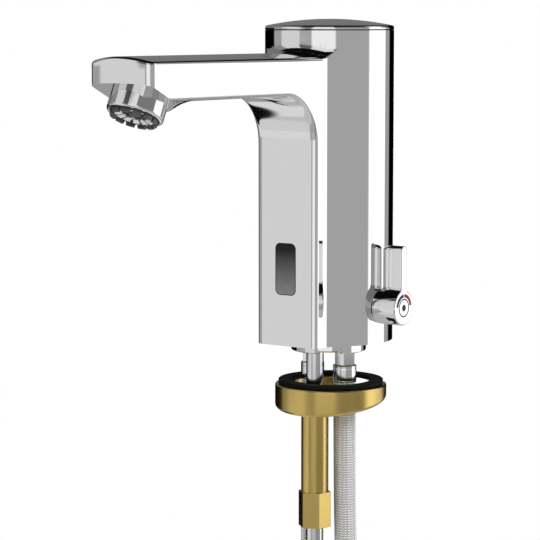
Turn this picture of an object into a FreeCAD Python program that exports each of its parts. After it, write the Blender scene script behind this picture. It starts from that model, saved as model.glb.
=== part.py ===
import FreeCAD, Part
import math
import os
import re
import Sketcher
from FreeCAD import Placement, Rotation, Vector

# Touch-free basin mixer: a round column with a flat spout, a temperature lever on its right side,
# and a stud, clamp and two braided hoses under the deck.
# Frame: origin on the column's axis in the plane of the deck, +Z up, spout along -Y, lever on +X.
# Every length is in millimetres.

SIZES = {
    # Casting: column, front slab and spout
    "column_radius": 28.5,
    "column_wall": 3.0,
    "slab_width": 30.0,
    "slab_front": 33.6,
    "slab_wall": 3.0,
    "slab_floor": 4.0,
    "spout_reach": 146.0,
    "spout_depth": 15.7,
    "column_rise": 10.0,
    "spout_crown": 2.2,
    "spout_wall": 3.0,
    "arch_radius": 21.0,
    "edge_radius": 2.1,
    "tip_edge_radius": 3.2,
    "nose_radius": 70.0,
    "root_radius": 10.0,
    "tip_depth": 8.2,
    "tip_cut_length": 30.0,
    "base_bore_radius": 24.2,
    "ledge_height": 8.0,
    "ledge_thickness": 3.0,
    "ledge_radius": 22.2,
    "shelf_thickness": 3.0,
    "shelf_radius": 23.0,
    "seam_height": 0.4,
    "seam_depth": 0.6,
    "channel_width": 22.0,
    "channel_setback": 31.5,
    # Cap over the battery
    "cap_rim": 1.6,
    "cap_dome": 3.0,
    "cap_roof": 2.6,
    "cap_plug_depth": 4.4,
    "cap_room": 1.2,
    "cap_plug_wall": 3.3,
    "cap_groove_drop": 1.4,
    "cap_groove_width": 1.7,
    "cap_groove_depth": 1.4,
    "cap_seal_wire": 0.72,
    # Battery compartment and electronics
    "battery_width": 35.0,
    "battery_depth": 19.5,
    "battery_height": 36.0,
    "battery_corner": 6.0,
    "battery_back": 6.0,
    "holder_drop": 1.0,
    "holder_floor": 2.0,
    "holder_front": 7.0,
    "contact_width": 7.0,
    "contact_height": 0.8,
    "contact_offset": 9.0,
    "module_width": 30.0,
    "module_depth": 18.0,
    "module_height": 19.0,
    "module_back": 4.0,
    "module_corner": 1.5,
    "module_gap": 4.0,
    # Presence sensor in the slab
    "window_width": 10.6,
    "window_height": 22.6,
    "window_corner": 2.2,
    "window_middle": 33.7,
    "sensor_width": 14.0,
    "sensor_height": 26.0,
    "sensor_depth": 7.0,
    "diode_radius": 2.5,
    "diode_length": 4.5,
    "diode_spacing": 12.0,
    # Solenoid valve
    "valve_back": 3.0,
    "valve_radius": 17.0,
    "valve_height": 13.7,
    "valve_inlet_radius": 3.0,
    "chamber_radius": 11.0,
    "chamber_floor": 4.7,
    "nozzle_radius": 4.0,
    "nozzle_height": 3.1,
    "nozzle_bore": 2.5,
    "seat_radius": 13.5,
    "seat_depth": 4.0,
    "arm_width": 12.0,
    "arm_height": 10.0,
    "diaphragm_thickness": 1.2,
    "bead_radius": 5.0,
    "bead_rise": 0.8,
    "bead_drop": 1.3,
    "bonnet_flange": 3.0,
    "bonnet_chamber_radius": 10.0,
    "bonnet_chamber_height": 1.8,
    "guide_radius": 4.6,
    "guide_bore": 3.7,
    "guide_height": 24.0,
    "guide_roof": 1.5,
    "yoke_width": 24.0,
    "yoke_depth": 16.0,
    "yoke_plate": 1.2,
    "coil_height": 20.0,
    "coil_radius": 10.5,
    "plunger_length": 15.4,
    "pilot_radius": 2.0,
    "pilot_height": 1.3,
    "pilot_gap": 0.3,
    "spring_radius": 2.6,
    "spring_wire": 0.35,
    "spring_turns": 6,
    "spring_end_gap": 0.1,
    # Water way to the spout
    "tube_gap": 0.4,
    "tube_radius": 4.0,
    "tube_bore": 3.0,
    "tube_bend": 14.0,
    "tube_socket_depth": 4.0,
    "tube_seal_wire": 0.6,
    "tube_groove_width": 1.5,
    "tube_groove_depth": 1.6,
    "spigot_length": 5.0,
    # Aerator
    "aerator_tilt": 25.0,
    "aerator_setback": 12.9,
    "aerator_radius": 12.0,
    "aerator_length": 9.3,
    "aerator_thread_radius": 10.4,
    "aerator_thread_length": 7.0,
    "aerator_bore": 9.0,
    "aerator_mouth_radius": 10.4,
    "aerator_mouth_height": 1.7,
    "aerator_lip_radius": 8.2,
    "aerator_lip_height": 1.8,
    "aerator_notch_width": 2.2,
    "aerator_notch_depth": 1.5,
    "aerator_notches": 10,
    "aerator_key_width": 6.0,
    "aerator_key_height": 4.0,
    "aerator_key_depth": 0.5,
    "insert_height": 4.0,
    "insert_hub": 2.2,
    "insert_rim": 1.0,
    "insert_slot": 1.4,
    "insert_slots": 8,
    "washer_thickness": 2.0,
    "washer_bore": 8.0,
    "boss_radius": 13.9,
    "boss_rise": 8.0,
    # Temperature cartridge, along X
    "lever_height": 16.3,
    "cartridge_bore": 9.0,
    "cartridge_start": 8.0,
    "cartridge_radius": 8.8,
    "cartridge_wall": 1.4,
    "cartridge_length": 20.6,
    "cartridge_floor": 1.6,
    "gasket_thickness": 1.4,
    "port_radius": 2.0,
    "port_offset": 4.2,
    "disc_radius": 7.2,
    "disc_thickness": 2.8,
    "spindle_flange_radius": 6.8,
    "spindle_flange": 4.0,
    "spindle_radius": 3.4,
    "spindle_length": 19.6,
    "spline_radius": 2.9,
    "spline_length": 10.0,
    "spline_count": 12,
    "spline_groove": 0.5,
    "nut_length": 7.0,
    "nut_groove_start": 2.8,
    "nut_groove_width": 1.6,
    "nut_groove_depth": 1.4,
    "spindle_seal_wire": 0.65,
    "limiter_radius": 6.4,
    "limiter_thickness": 2.6,
    "limiter_bore": 3.8,
    # Lever
    "sleeve_radius": 8.4,
    "sleeve_wall": 1.3,
    "sleeve_end": 27.3,
    "lever_gap": 0.3,
    "hub_radius": 7.7,
    "hub_end": 39.8,
    "hub_edge": 0.6,
    "paddle_setback": 1.9,
    "paddle_thickness": 4.2,
    "paddle_top": 27.2,
    "paddle_edge": 0.8,
    "paddle_root": 3.0,
    "hub_socket_depth": 6.8,
    "screw_head_radius": 2.2,
    "screw_head": 1.7,
    "screw_radius": 1.4,
    "screw_length": 7.0,
    "screw_drive": 1.0,
    "marker_inner": 4.1,
    "marker_outer": 5.7,
    "marker_depth": 0.5,
    "marker_angle": 80.0,
    "recess_width": 5.0,
    "recess_length": 5.4,
    "recess_depth": 1.2,
    # Manifold, base ring and stud
    "boss_base_radius": 15.4,
    "boss_base_depth": 4.6,
    "flange_radius": 24.0,
    "flange_thickness": 3.2,
    "manifold_radius": 20.8,
    "manifold_height": 29.3,
    "inlet_offset": 8.7,
    "inlet_radius": 4.8,
    "inlet_way": 3.0,
    "ring_bore": 15.6,
    "spigot_radius": 16.75,
    "spigot_depth": 5.2,
    "notch_width": 10.0,
    "notch_depth": 1.0,
    "notch_turn": 36.0,
    "base_seal_inner": 18.0,
    "base_seal_outer": 22.0,
    "base_seal_thickness": 0.8,
    "stud_offset": 10.7,
    "stud_radius": 3.9,
    "stud_grip": 9.0,
    "stud_bottom": 100.0,
    "stud_chamfer": 0.8,
    "stud_play": 0.1,
    # Clamp under the deck
    "deck_thickness": 18.5,
    "gasket_outer": 23.5,
    "gasket_inner": 18.0,
    "gasket_height": 2.0,
    "clamp_radius": 25.0,
    "clamp_bore": 17.9,
    "clamp_front": 10.7,
    "clamp_back": 4.8,
    "clamp_web": 6.3,
    "clamp_gap": 18.0,
    "clamp_gap_aside": 6.0,
    "clamp_aside": 0.7,
    "clamp_behind": 0.7,
    "clamp_hole": 4.3,
    "pad_radius": 6.4,
    "pad_depth": 10.1,
    "sleeve_nut_radius": 5.9,
    "sleeve_nut_bore": 4.2,
    "sleeve_nut_length": 37.4,
    "sleeve_nut_gap": 0.1,
    "hex_across": 13.0,
    "hex_height": 16.0,
    "hex_turn": 20.0,
    # Hoses and their fittings
    "nipple_thread": 4.7,
    "nipple_across": 8.4,
    "nipple_height": 6.9,
    "nipple_stem": 3.0,
    "ferrule_radius": 5.25,
    "ferrule_length": 7.8,
    "ferrule_bore": 3.1,
    "hose_radius": 5.0,
    "hose_bore": 3.1,
    "hose_spread": 20.0,
    "hose_end": 319.0,
    "tail_bore": 2.2,
    "tail_neck": 5.0,
    "tail_neck_length": 6.0,
    "tail_flange": 7.6,
    "tail_flange_height": 3.0,
    "union_across": 19.0,
    "union_height": 15.0,
    "union_drop": 2.0,
    "union_roof": 3.6,
    "union_thread": 8.3,
    "union_thread_length": 5.9,
    "union_relief": 8.6,
    "union_play": 0.3,
    "seat_washer_bore": 4.2,
    "seat_washer_thickness": 2.0,
    # Clearances
    "slip": 0.2,
    "window_play": 0.15,
    "running_gap": 0.1,
    "overrun": 2.0,
}

# Sizes that follow from others: the stack inside the column sets its height, and the spout hangs from its top.
FITS = {
    "guide_top": "manifold_height + valve_height + bonnet_flange + guide_height",
    "shelf_height": "guide_top + module_gap + module_height",
    "holder_height": "holder_floor + battery_height - holder_drop",
    "battery_top": "shelf_height + holder_floor + battery_height",
    "column_height": "battery_top + contact_height + cap_room + cap_plug_depth",
    "spout_edge_height": "column_height - column_rise - spout_crown",
    "spout_under": "spout_edge_height - spout_depth",
    "tip_low": "spout_edge_height - tip_depth",
    "channel_end": "spout_reach - channel_setback",
    "tube_offset": "valve_radius - valve_back + tube_radius + tube_gap",
}

# How far along a hose, from its top to its bottom end, each point stands, and its share of the spread.
HOSE_DROP_SHARES = [0.0, 0.26, 0.53, 0.78, 1.0]
HOSE_SPREAD_SHARES = [0.0, 0.0, 0.36, 1.0, 1.0]
HOSE_BACK_SHARES = [0.0, 0.0, 0.14, 0.10, 0.10]
HOSE_ARC_SHARE = 0.45
NEAR = 0.05

document = FreeCAD.newDocument("basin_mixer")
sheet = document.addObject("Spreadsheet::Sheet", "Sizes")
CELLS = {**SIZES, **{alias: "=" + total for alias, total in FITS.items()}}
for row, (alias, size) in enumerate(CELLS.items(), start=1):
    sheet.set(f"A{row}", alias)
    sheet.setAlias(f"B{row}", alias)
    sheet.set(f"B{row}", str(size))
document.recompute()

nodes = []
WORD = re.compile(r"[a-z][a-z_]*")
AXIS_TURNS = {
    "z": Rotation(),
    "x": Rotation(Vector(0, 1, 0), 90),
    "y": Rotation(Vector(1, 0, 0), -90),
}
ORIGIN = ("0", "0", "0")


def formula(text):
    """The same sum with every named size read from the sheet."""
    return WORD.sub(lambda m: "Sizes." + m.group() if m.group() in CELLS else m.group(), str(text))


def number(text):
    """What a sum of named sizes comes to now."""
    return float(sheet.evalExpression(formula(text)))


def bind(thing, **sums):
    """Ties properties of an object to sums of named sizes."""
    for name, text in sums.items():
        thing.setExpression(name, formula(text))


def place(thing, at, axis="z"):
    """Turns an object's own Z to an axis and ties its place to named sizes."""
    thing.Placement = Placement(Vector(), AXIS_TURNS[axis])
    for letter, text in zip("xyz", at):
        if text != "0":
            thing.setExpression("Placement.Base." + letter, formula(text))


def turn(thing, axis, angle):
    """Turns an object about one axis by a named angle."""
    thing.Placement = Placement(thing.Placement.Base, Rotation(axis, 1))
    thing.setExpression("Placement.Rotation.Angle", formula(angle))


def piece(label, at=ORIGIN, axis="z"):
    """A new sub-part, made of features in its own frame."""
    body = document.addObject("PartDesign::Body", label)
    body.Label = label
    place(body, at, axis)
    nodes.append(body)
    return body


def feature(body, kind, at, axis="z", **sums):
    made = body.newObject("PartDesign::" + kind, body.Label + "_" + kind)
    bind(made, **sums)
    place(made, at, axis)
    return made


def rod(body, radius, length, at=ORIGIN, axis="z"):
    return feature(body, "AdditiveCylinder", at, axis, Radius=radius, Height=length)


def bore(body, radius, length, at=ORIGIN, axis="z"):
    return feature(body, "SubtractiveCylinder", at, axis, Radius=radius, Height=length)


def corner(size, at):
    """Least corner of a box that stands on its point with its middle over it."""
    width, depth, _ = size
    x, y, z = at
    return (f"{x} - ({width}) / 2", f"{y} - ({depth}) / 2", z)


def block(body, size, at=ORIGIN):
    width, depth, height = size
    return feature(body, "AdditiveBox", corner(size, at), Length=width, Width=depth, Height=height)


def pocket(body, size, at=ORIGIN):
    width, depth, height = size
    return feature(body, "SubtractiveBox", corner(size, at), Length=width, Width=depth, Height=height)


def hexagon(body, across, height, at=ORIGIN, angle=None):
    made = body.newObject("PartDesign::AdditivePrism", body.Label + "_hexagon")
    made.Polygon = 6
    bind(made, Circumradius=f"({across}) / sqrt(3)", Height=height)
    place(made, at)
    if angle:
        turn(made, Vector(0, 0, 1), angle)
    return made


def outline(body, plane, points, arcs=None, offset=None):
    """Closed outline on one of a body's planes: each corner is tied to named sizes, and arcs gives the
    radius of an edge, above zero where it turns to the left on its way to the next corner."""
    arcs = arcs or {}
    sketch = body.newObject("Sketcher::SketchObject", body.Label + "_outline")
    base = [one for one in body.Origin.OriginFeatures if one.Role == plane][0]
    sketch.AttachmentSupport = [(base, "")]
    sketch.MapMode = "FlatFace"
    if offset:
        sketch.setExpression("AttachmentOffset.Base.z", formula(offset))
    spots = [Vector(number(x), number(y), 0) for x, y in points]
    count = len(points)
    ends = []
    for index, start in enumerate(spots):
        stop = spots[(index + 1) % count]
        if index not in arcs:
            sketch.addGeometry(Part.LineSegment(start, stop), False)
            ends.append((1, 2))
            continue
        radius = number(arcs[index])
        chord = stop - start
        aside = Vector(-chord.y, chord.x, 0).normalize()
        rise = abs(radius) - math.sqrt(radius * radius - chord.Length * chord.Length / 4)
        middle = (start + stop) / 2 - aside * math.copysign(rise, radius)
        way = (start, middle, stop) if radius > 0 else (stop, middle, start)
        sketch.addGeometry(Part.Arc(*way), False)
        ends.append((1, 2) if radius > 0 else (2, 1))
        bound = sketch.addConstraint(Sketcher.Constraint("Radius", index, abs(radius)))
        sketch.setExpression(f"Constraints[{bound}]", formula(f"abs({arcs[index]})"))
    for index in range(count):
        following = (index + 1) % count
        sketch.addConstraint(
            Sketcher.Constraint("Coincident", index, ends[index][1], following, ends[following][0])
        )
    for index, pair in enumerate(points):
        for kind, text in zip(("DistanceX", "DistanceY"), pair):
            constraint = Sketcher.Constraint(kind, -1, 1, index, ends[index][0], number(text))
            bound = sketch.addConstraint(constraint)
            sketch.setExpression(f"Constraints[{bound}]", formula(text))
    return sketch


def turned(body, points, arcs=None, cut=False):
    """Solid of revolution about the body's own Z from corners given as radius and height."""
    sketch = outline(body, "XZ_Plane", points, arcs)
    made = body.newObject("PartDesign::Groove" if cut else "PartDesign::Revolution", body.Label + "_turn")
    made.Profile = sketch
    made.ReferenceAxis = (sketch, ["V_Axis"])
    made.Angle = 360
    return made


def slab(body, plane, points, length, arcs=None, offset=None, cut=False, both=True):
    """Outline carried straight through its plane, half to each side of it or to one side."""
    sketch = outline(body, plane, points, arcs, offset)
    made = body.newObject("PartDesign::Pocket" if cut else "PartDesign::Pad", body.Label + "_slab")
    made.Profile = sketch
    bind(made, Length=length)
    made.SideType = "Symmetric" if both else "One side"
    return made


def rounded_box(width, height, radius, middle):
    """Corners and arcs of a rounded rectangle that is centred over a height."""
    x, z = f"({width}) / 2", f"({height}) / 2"
    inner, upper = f"({x} - {radius})", f"({z} - {radius})"
    points = [
        (f"-{inner}", f"{middle} - {z}"),
        (inner, f"{middle} - {z}"),
        (x, f"{middle} - {upper}"),
        (x, f"{middle} + {upper}"),
        (inner, f"{middle} + {z}"),
        (f"-{inner}", f"{middle} + {z}"),
        (f"-{x}", f"{middle} + {upper}"),
        (f"-{x}", f"{middle} - {upper}"),
    ]
    return points, {1: radius, 3: radius, 5: radius, 7: radius}


def ease(body, radius, wanted, kind="Fillet"):
    """Rounds or bevels the edges of a body whose middle passes a test."""
    document.recompute()
    before = body.Tip
    names = []
    for index, edge in enumerate(before.Shape.Edges, start=1):
        middle = edge.valueAt((edge.FirstParameter + edge.LastParameter) / 2)
        if wanted(edge, middle):
            names.append(f"Edge{index}")
    made = body.newObject("PartDesign::" + kind, body.Label + "_" + kind)
    made.Base = (before, names)
    bind(made, **{"Radius" if kind == "Fillet" else "Size": radius})
    return made


def near(first, second):
    return abs(first - second) < NEAR


def repeat(body, original, count, axis="Z_Axis"):
    """Copies a feature round one of the body's axes."""
    document.recompute()
    made = body.newObject("PartDesign::PolarPattern", body.Label + "_pattern")
    made.Originals = [original]
    base = [one for one in body.Origin.OriginFeatures if one.Role == axis][0]
    made.Axis = (base, [""])
    made.Angle = 360
    made.setExpression("Occurrences", formula(count))
    body.Tip = made
    return made


def seal_ring(label, radius, wire, at, axis="z"):
    """An O-ring."""
    made = document.addObject("Part::Torus", label)
    made.Label = label
    bind(made, Radius1=radius, Radius2=wire)
    place(made, at, axis)
    nodes.append(made)


def shaped(label, shape):
    """A sub-part whose shape is worked out along a path."""
    made = document.addObject("Part::Feature", label)
    made.Label = label
    made.Shape = shape
    made.Placement = Placement()
    nodes.append(made)


def rounded_path(points, bend=None):
    """Straight runs joined by tangent arcs, each of one named radius or as large as its runs allow."""
    edges = []
    start = points[0]
    for before, at, after in zip(points, points[1:], points[2:]):
        into, out = (at - before).normalize(), (after - at).normalize()
        half = into.getAngle(out) / 2
        shorter = min((at - before).Length, (after - at).Length)
        radius = bend or HOSE_ARC_SHARE * shorter / math.tan(half)
        reach = radius * math.tan(half)
        first, last = at - into * reach, at + out * reach
        towards = (out - into).normalize()
        middle = at + towards * (radius / math.cos(half) - radius)
        edges.append(Part.LineSegment(start, first).toShape())
        edges.append(Part.Arc(first, middle, last).toShape())
        start = last
        print(f"bend radius {radius:.1f} mm, turn {math.degrees(2 * half):.1f} degrees")
    edges.append(Part.LineSegment(start, points[-1]).toShape())
    return Part.Wire(edges)


def tube_along(points, radius, hollow, bend=None):
    """A round tube with an open bore along a path, with its volume compared with section times length."""
    path = rounded_path(points, bend)
    along = points[1] - points[0]
    solids = []
    for size in (radius, hollow):
        ring = Part.Wire([Part.Circle(points[0], along, size).toShape()])
        solids.append(path.makePipeShell([ring], True, False))
    made = solids[0].cut(solids[1])
    wanted = math.pi * (radius * radius - hollow * hollow) * path.Length
    print(f"tube {path.Length:.1f} mm long, volume {made.Volume:.0f} of {wanted:.0f} cubic mm")
    return made


def biarc(start, leave, stop, arrive):
    """Two tangent arcs from one point and direction to another."""
    chord, both = stop - start, leave + arrive
    spread = 2 * (1 - leave.dot(arrive))
    along = chord.dot(both)
    reach = (math.sqrt(along * along + spread * chord.dot(chord)) - along) / spread
    first, last = start + leave * reach, stop - arrive * reach
    meet = (first + last) / 2
    arcs = []
    for begin, knee, end in ((start, first, meet), (meet, last, stop)):
        half_chord = (end - begin).Length / 2
        middle = (begin + end) / 2
        lift = (knee - middle).Length
        side = math.hypot(half_chord, lift)
        bulge = half_chord * lift / (side + half_chord)
        arcs.append(Part.Arc(begin, middle + (knee - middle).normalize() * bulge, end).toShape())
    return arcs


def coil_spring(centre, bottom, top, radius, wire, turns):
    """One unbroken wire wound up a helix in quarter turns, each a pair of tangent arcs."""
    quarters = int(turns * 4)
    rise = top - bottom - 2 * wire
    slope = rise / (2 * math.pi * radius * turns)

    def spot(step):
        angle = step * math.pi / 2
        height = bottom + wire + rise * step / quarters
        point = centre + Vector(radius * math.cos(angle), radius * math.sin(angle), height)
        return point, Vector(-math.sin(angle), math.cos(angle), slope).normalize()

    edges = []
    for step in range(quarters):
        start, leave = spot(step)
        stop, arrive = spot(step + 1)
        edges += biarc(start, leave, stop, arrive)
    path = Part.Wire(edges)
    start, leave = spot(0)
    ring = Part.Wire([Part.Circle(start, leave, wire).toShape()])
    print(f"spring turns lie {rise / turns - 2 * wire:.2f} mm apart")
    return path.makePipeShell([ring], True, False)


# Casting
half_slab = "slab_width / 2"
spout_top = "(spout_edge_height + spout_crown)"
crown_radius = "(slab_width * slab_width / 4 + spout_crown * spout_crown) / (2 * spout_crown)"
column_bore = "(column_radius - column_wall)"
aerator_y = "(aerator_setback - spout_reach)"
aerator_z = "(tip_low - aerator_setback * tan(aerator_tilt * 1 deg))"
tube_height = "((spout_under + spout_edge_height) / 2)"
socket_depth = "(aerator_thread_length + washer_thickness)"


def tilted(made):
    """Turns a feature to the slant of the aerator."""
    turn(made, Vector(1, 0, 0), "-aerator_tilt")
    return made


def body_shell():
    """Hollow casting: slab and spout from one side outline, joined to the round column."""
    shell = piece("body_shell")
    side = [
        ("0", "0"),
        ("-slab_front", "0"),
        ("-slab_front", "spout_under"),
        ("-spout_reach", "spout_under"),
        ("-spout_reach", spout_top),
        ("0", spout_top),
    ]
    slab(shell, "YZ_Plane", side, "slab_width")
    wide, high = f"({half_slab} + overrun)", f"({spout_top} + overrun)"
    crown = [
        (f"-{half_slab}", "spout_edge_height"),
        (half_slab, "spout_edge_height"),
        (wide, "spout_edge_height"),
        (wide, high),
        (f"-{wide}", high),
        (f"-{wide}", "spout_edge_height"),
    ]
    slab(shell, "XZ_Plane", crown, "2 * (spout_reach + overrun)", {0: f"-({crown_radius})"}, cut=True)
    bulge = "(nose_radius - sqrt(nose_radius * nose_radius - slab_width * slab_width / 4))"
    nose_y, ahead = f"({bulge} - spout_reach)", "(-spout_reach - overrun)"
    nose = [
        (f"-{half_slab}", nose_y),
        (half_slab, nose_y),
        (wide, nose_y),
        (wide, ahead),
        (f"-{wide}", ahead),
        (f"-{wide}", nose_y),
    ]
    slab(shell, "XY_Plane", nose, f"2 * {high}", {0: "nose_radius"}, cut=True)
    front, under, tip_corner = number("slab_front"), number("spout_under"), number(nose_y)
    half = number(half_slab)
    ease(shell, "arch_radius", lambda e, m: near(m.y, -front) and near(m.z, under))
    ease(shell, "tip_edge_radius", lambda e, m: near(abs(m.x), half) and near(m.y, tip_corner))
    ease(
        shell,
        "edge_radius",
        lambda e, m: near(abs(m.x), half) and m.y < -front + NEAR and 0 < m.z < under + NEAR,
    )
    run, drop = "tip_cut_length", "tip_cut_length * tan(aerator_tilt * 1 deg)"
    tip = [
        ("-spout_reach - overrun", "tip_low + overrun * tan(aerator_tilt * 1 deg)"),
        ("-spout_reach - overrun", f"tip_low - {drop}"),
        (f"-spout_reach + {run}", f"tip_low - {drop}"),
    ]
    slab(shell, "YZ_Plane", tip, "slab_width + 2 * overrun", cut=True)
    tilted(rod(shell, "boss_radius", "boss_rise", ("0", aerator_y, aerator_z)))
    rod(shell, "column_radius", "column_height")
    away, around = f"({half_slab} + root_radius)", "(column_radius + root_radius)"
    root_y, inward = f"sqrt({around} * {around} - {away} * {away})", f"column_radius / {around}"
    root = [
        (f"-{half_slab}", f"-{root_y}"),
        (half_slab, f"-{root_y}"),
        (f"{away} * {inward}", f"-{root_y} * {inward}"),
        (f"-{away} * {inward}", f"-{root_y} * {inward}"),
    ]
    slab(shell, "XY_Plane", root, "spout_edge_height", {1: "-root_radius", 3: "-root_radius"}, both=False)
    inside = [
        ("0", "-overrun"),
        ("base_bore_radius", "-overrun"),
        ("base_bore_radius", "ledge_height"),
        ("ledge_radius", "ledge_height"),
        ("ledge_radius", "ledge_height + ledge_thickness"),
        (column_bore, "ledge_height + ledge_thickness"),
        (column_bore, "shelf_height - shelf_thickness"),
        ("shelf_radius", "shelf_height - shelf_thickness"),
        ("shelf_radius", "shelf_height"),
        (column_bore, "shelf_height"),
        (column_bore, "column_height + overrun"),
        ("0", "column_height + overrun"),
    ]
    turned(shell, inside, cut=True)
    seam = [
        ("column_radius - seam_depth", "column_height - seam_height"),
        ("column_radius + overrun", "column_height - seam_height"),
        ("column_radius + overrun", "column_height + overrun"),
        ("column_radius - seam_depth", "column_height + overrun"),
    ]
    turned(shell, seam, cut=True)
    hollow_depth = "(slab_front - slab_wall - tube_offset + tube_radius)"
    channel_top = "(spout_edge_height - spout_wall)"
    pocket(
        shell,
        ("slab_width - 2 * slab_wall", hollow_depth, f"{channel_top} - slab_floor"),
        ("0", f"-(slab_front - slab_wall) + {hollow_depth} / 2", "slab_floor"),
    )
    channel = "(channel_end - tube_offset)"
    pocket(
        shell,
        ("channel_width", channel, f"{channel_top} - spout_under - spout_wall"),
        ("0", f"-channel_end + {channel} / 2", "spout_under + spout_wall"),
    )
    socket_end = "(channel_end + tube_socket_depth)"
    socket = ("0", f"-{socket_end}", tube_height)
    bore(shell, "tube_radius + slip", "tube_socket_depth + overrun", socket, "y")
    bore(
        shell,
        "tube_radius + tube_groove_depth",
        "tube_groove_width",
        ("0", "-channel_end - (tube_socket_depth + tube_groove_width) / 2", tube_height),
        "y",
    )
    bore(shell, "tube_bore", f"-{aerator_y} - channel_end", ("0", aerator_y, tube_height), "y")
    slant = "overrun * sin(aerator_tilt * 1 deg)", "overrun * cos(aerator_tilt * 1 deg)"
    tilted(
        bore(
            shell,
            "aerator_thread_radius + slip",
            f"{socket_depth} + overrun",
            ("0", f"{aerator_y} - {slant[0]}", f"{aerator_z} - {slant[1]}"),
        )
    )
    play = "2 * window_play"
    points, arcs = rounded_box(
        f"(window_width + {play})", f"(window_height + {play})", "window_corner", "window_middle"
    )
    depth = "slab_wall + 2 * overrun"
    slab(shell, "XZ_Plane", points, depth, arcs, "slab_front + overrun", cut=True, both=False)
    bore(shell, "sleeve_radius + slip", "column_radius", ("base_bore_radius / 2", "0", "lever_height"), "x")


def top_cap():
    """Domed lid over the battery, with a plug that carries its seal."""
    cap = piece("top_cap", ("0", "0", "column_height"))
    plug = f"({column_bore} - slip)"
    dome = "((column_radius * column_radius + cap_dome * cap_dome) / (2 * cap_dome))"
    roof = "(cap_rim + cap_dome - cap_roof)"
    points = [
        (f"{plug} - cap_plug_wall", "-cap_plug_depth"),
        (plug, "-cap_plug_depth"),
        (plug, "0"),
        ("column_radius", "0"),
        ("column_radius", "cap_rim"),
        ("0", "cap_rim + cap_dome"),
        ("0", roof),
        (f"{plug} - cap_plug_wall", roof),
    ]
    turned(cap, points, {4: dome})
    low = "-cap_groove_drop - cap_groove_width"
    groove = [
        (f"{plug} - cap_groove_depth", low),
        (f"{plug} + overrun", low),
        (f"{plug} + overrun", "-cap_groove_drop"),
        (f"{plug} - cap_groove_depth", "-cap_groove_drop"),
    ]
    turned(cap, groove, cut=True)
    middle = "column_height - cap_groove_drop - cap_groove_width / 2"
    ring = f"{column_bore} - running_gap - cap_seal_wire"
    seal_ring("cap_seal", ring, "cap_seal_wire", ("0", "0", middle))


def battery_group():
    """Battery, its holder on the column's shelf, its contacts and the control module below."""
    holder = piece("battery_holder", ("0", "0", "shelf_height"))
    rod(holder, f"{column_bore} - slip", "holder_height")
    ahead = f"({column_bore} - holder_front)"
    pocket(
        holder,
        ("2 * column_radius", ahead, "holder_height + 2 * overrun"),
        ("0", f"-holder_front - {ahead} / 2", "-overrun"),
    )
    pocket(
        holder,
        ("battery_width + 2 * slip", "battery_depth + 2 * slip", "holder_height"),
        ("0", "battery_back", "holder_floor"),
    )
    battery = piece("battery", ("0", "battery_back", "shelf_height + holder_floor"))
    block(battery, ("battery_width", "battery_depth", "battery_height"))
    tall = number("battery_height") / 2
    ease(battery, "battery_corner", lambda e, m: near(m.z, tall))
    contacts = piece("battery_contacts", ("0", "battery_back", "battery_top"))
    for side in ("-", ""):
        block(
            contacts,
            ("contact_width", "contact_width", "contact_height"),
            (f"{side}contact_offset", "0", "0"),
        )
    module = piece("control_module", ("0", "module_back", "shelf_height - module_height"))
    block(module, ("module_width", "module_depth", "module_height"))
    tall_module = number("module_height") / 2
    ease(module, "module_corner", lambda e, m: near(m.z, tall_module))


def sensor_group():
    """Dark window flush with the slab, and the sensor behind it."""
    window = piece("sensor_window")
    points, arcs = rounded_box("window_width", "window_height", "window_corner", "window_middle")
    slab(window, "XZ_Plane", points, "slab_wall", arcs, "slab_front - slab_wall", both=False)
    sensor_middle = "-(slab_front - slab_wall - sensor_depth / 2)"
    housing = piece("sensor_housing", ("0", sensor_middle, "window_middle"))
    block(housing, ("sensor_width", "sensor_depth", "sensor_height"), ("0", "0", "-sensor_height / 2"))
    diodes = piece("sensor_diodes", ("0", "-(slab_front - slab_wall)", "window_middle"))
    for side in ("-", ""):
        level = f"{side}diode_spacing / 2"
        bore(
            housing,
            "diode_radius + slip",
            "diode_length + overrun",
            ("0", "-sensor_depth / 2 - overrun", level),
            "y",
        )
        rod(diodes, "diode_radius", "diode_length", ("0", "0", level), "y")


valve_at = ("0", "valve_back", "manifold_height")
seat_floor = "(valve_height - seat_depth)"
bonnet_top = "(valve_height + bonnet_flange)"
diaphragm_top = f"({seat_floor} + diaphragm_thickness)"
pilot_low = f"({diaphragm_top} + bead_rise + pilot_gap)"
plunger_low = f"({pilot_low} + pilot_height)"


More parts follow.
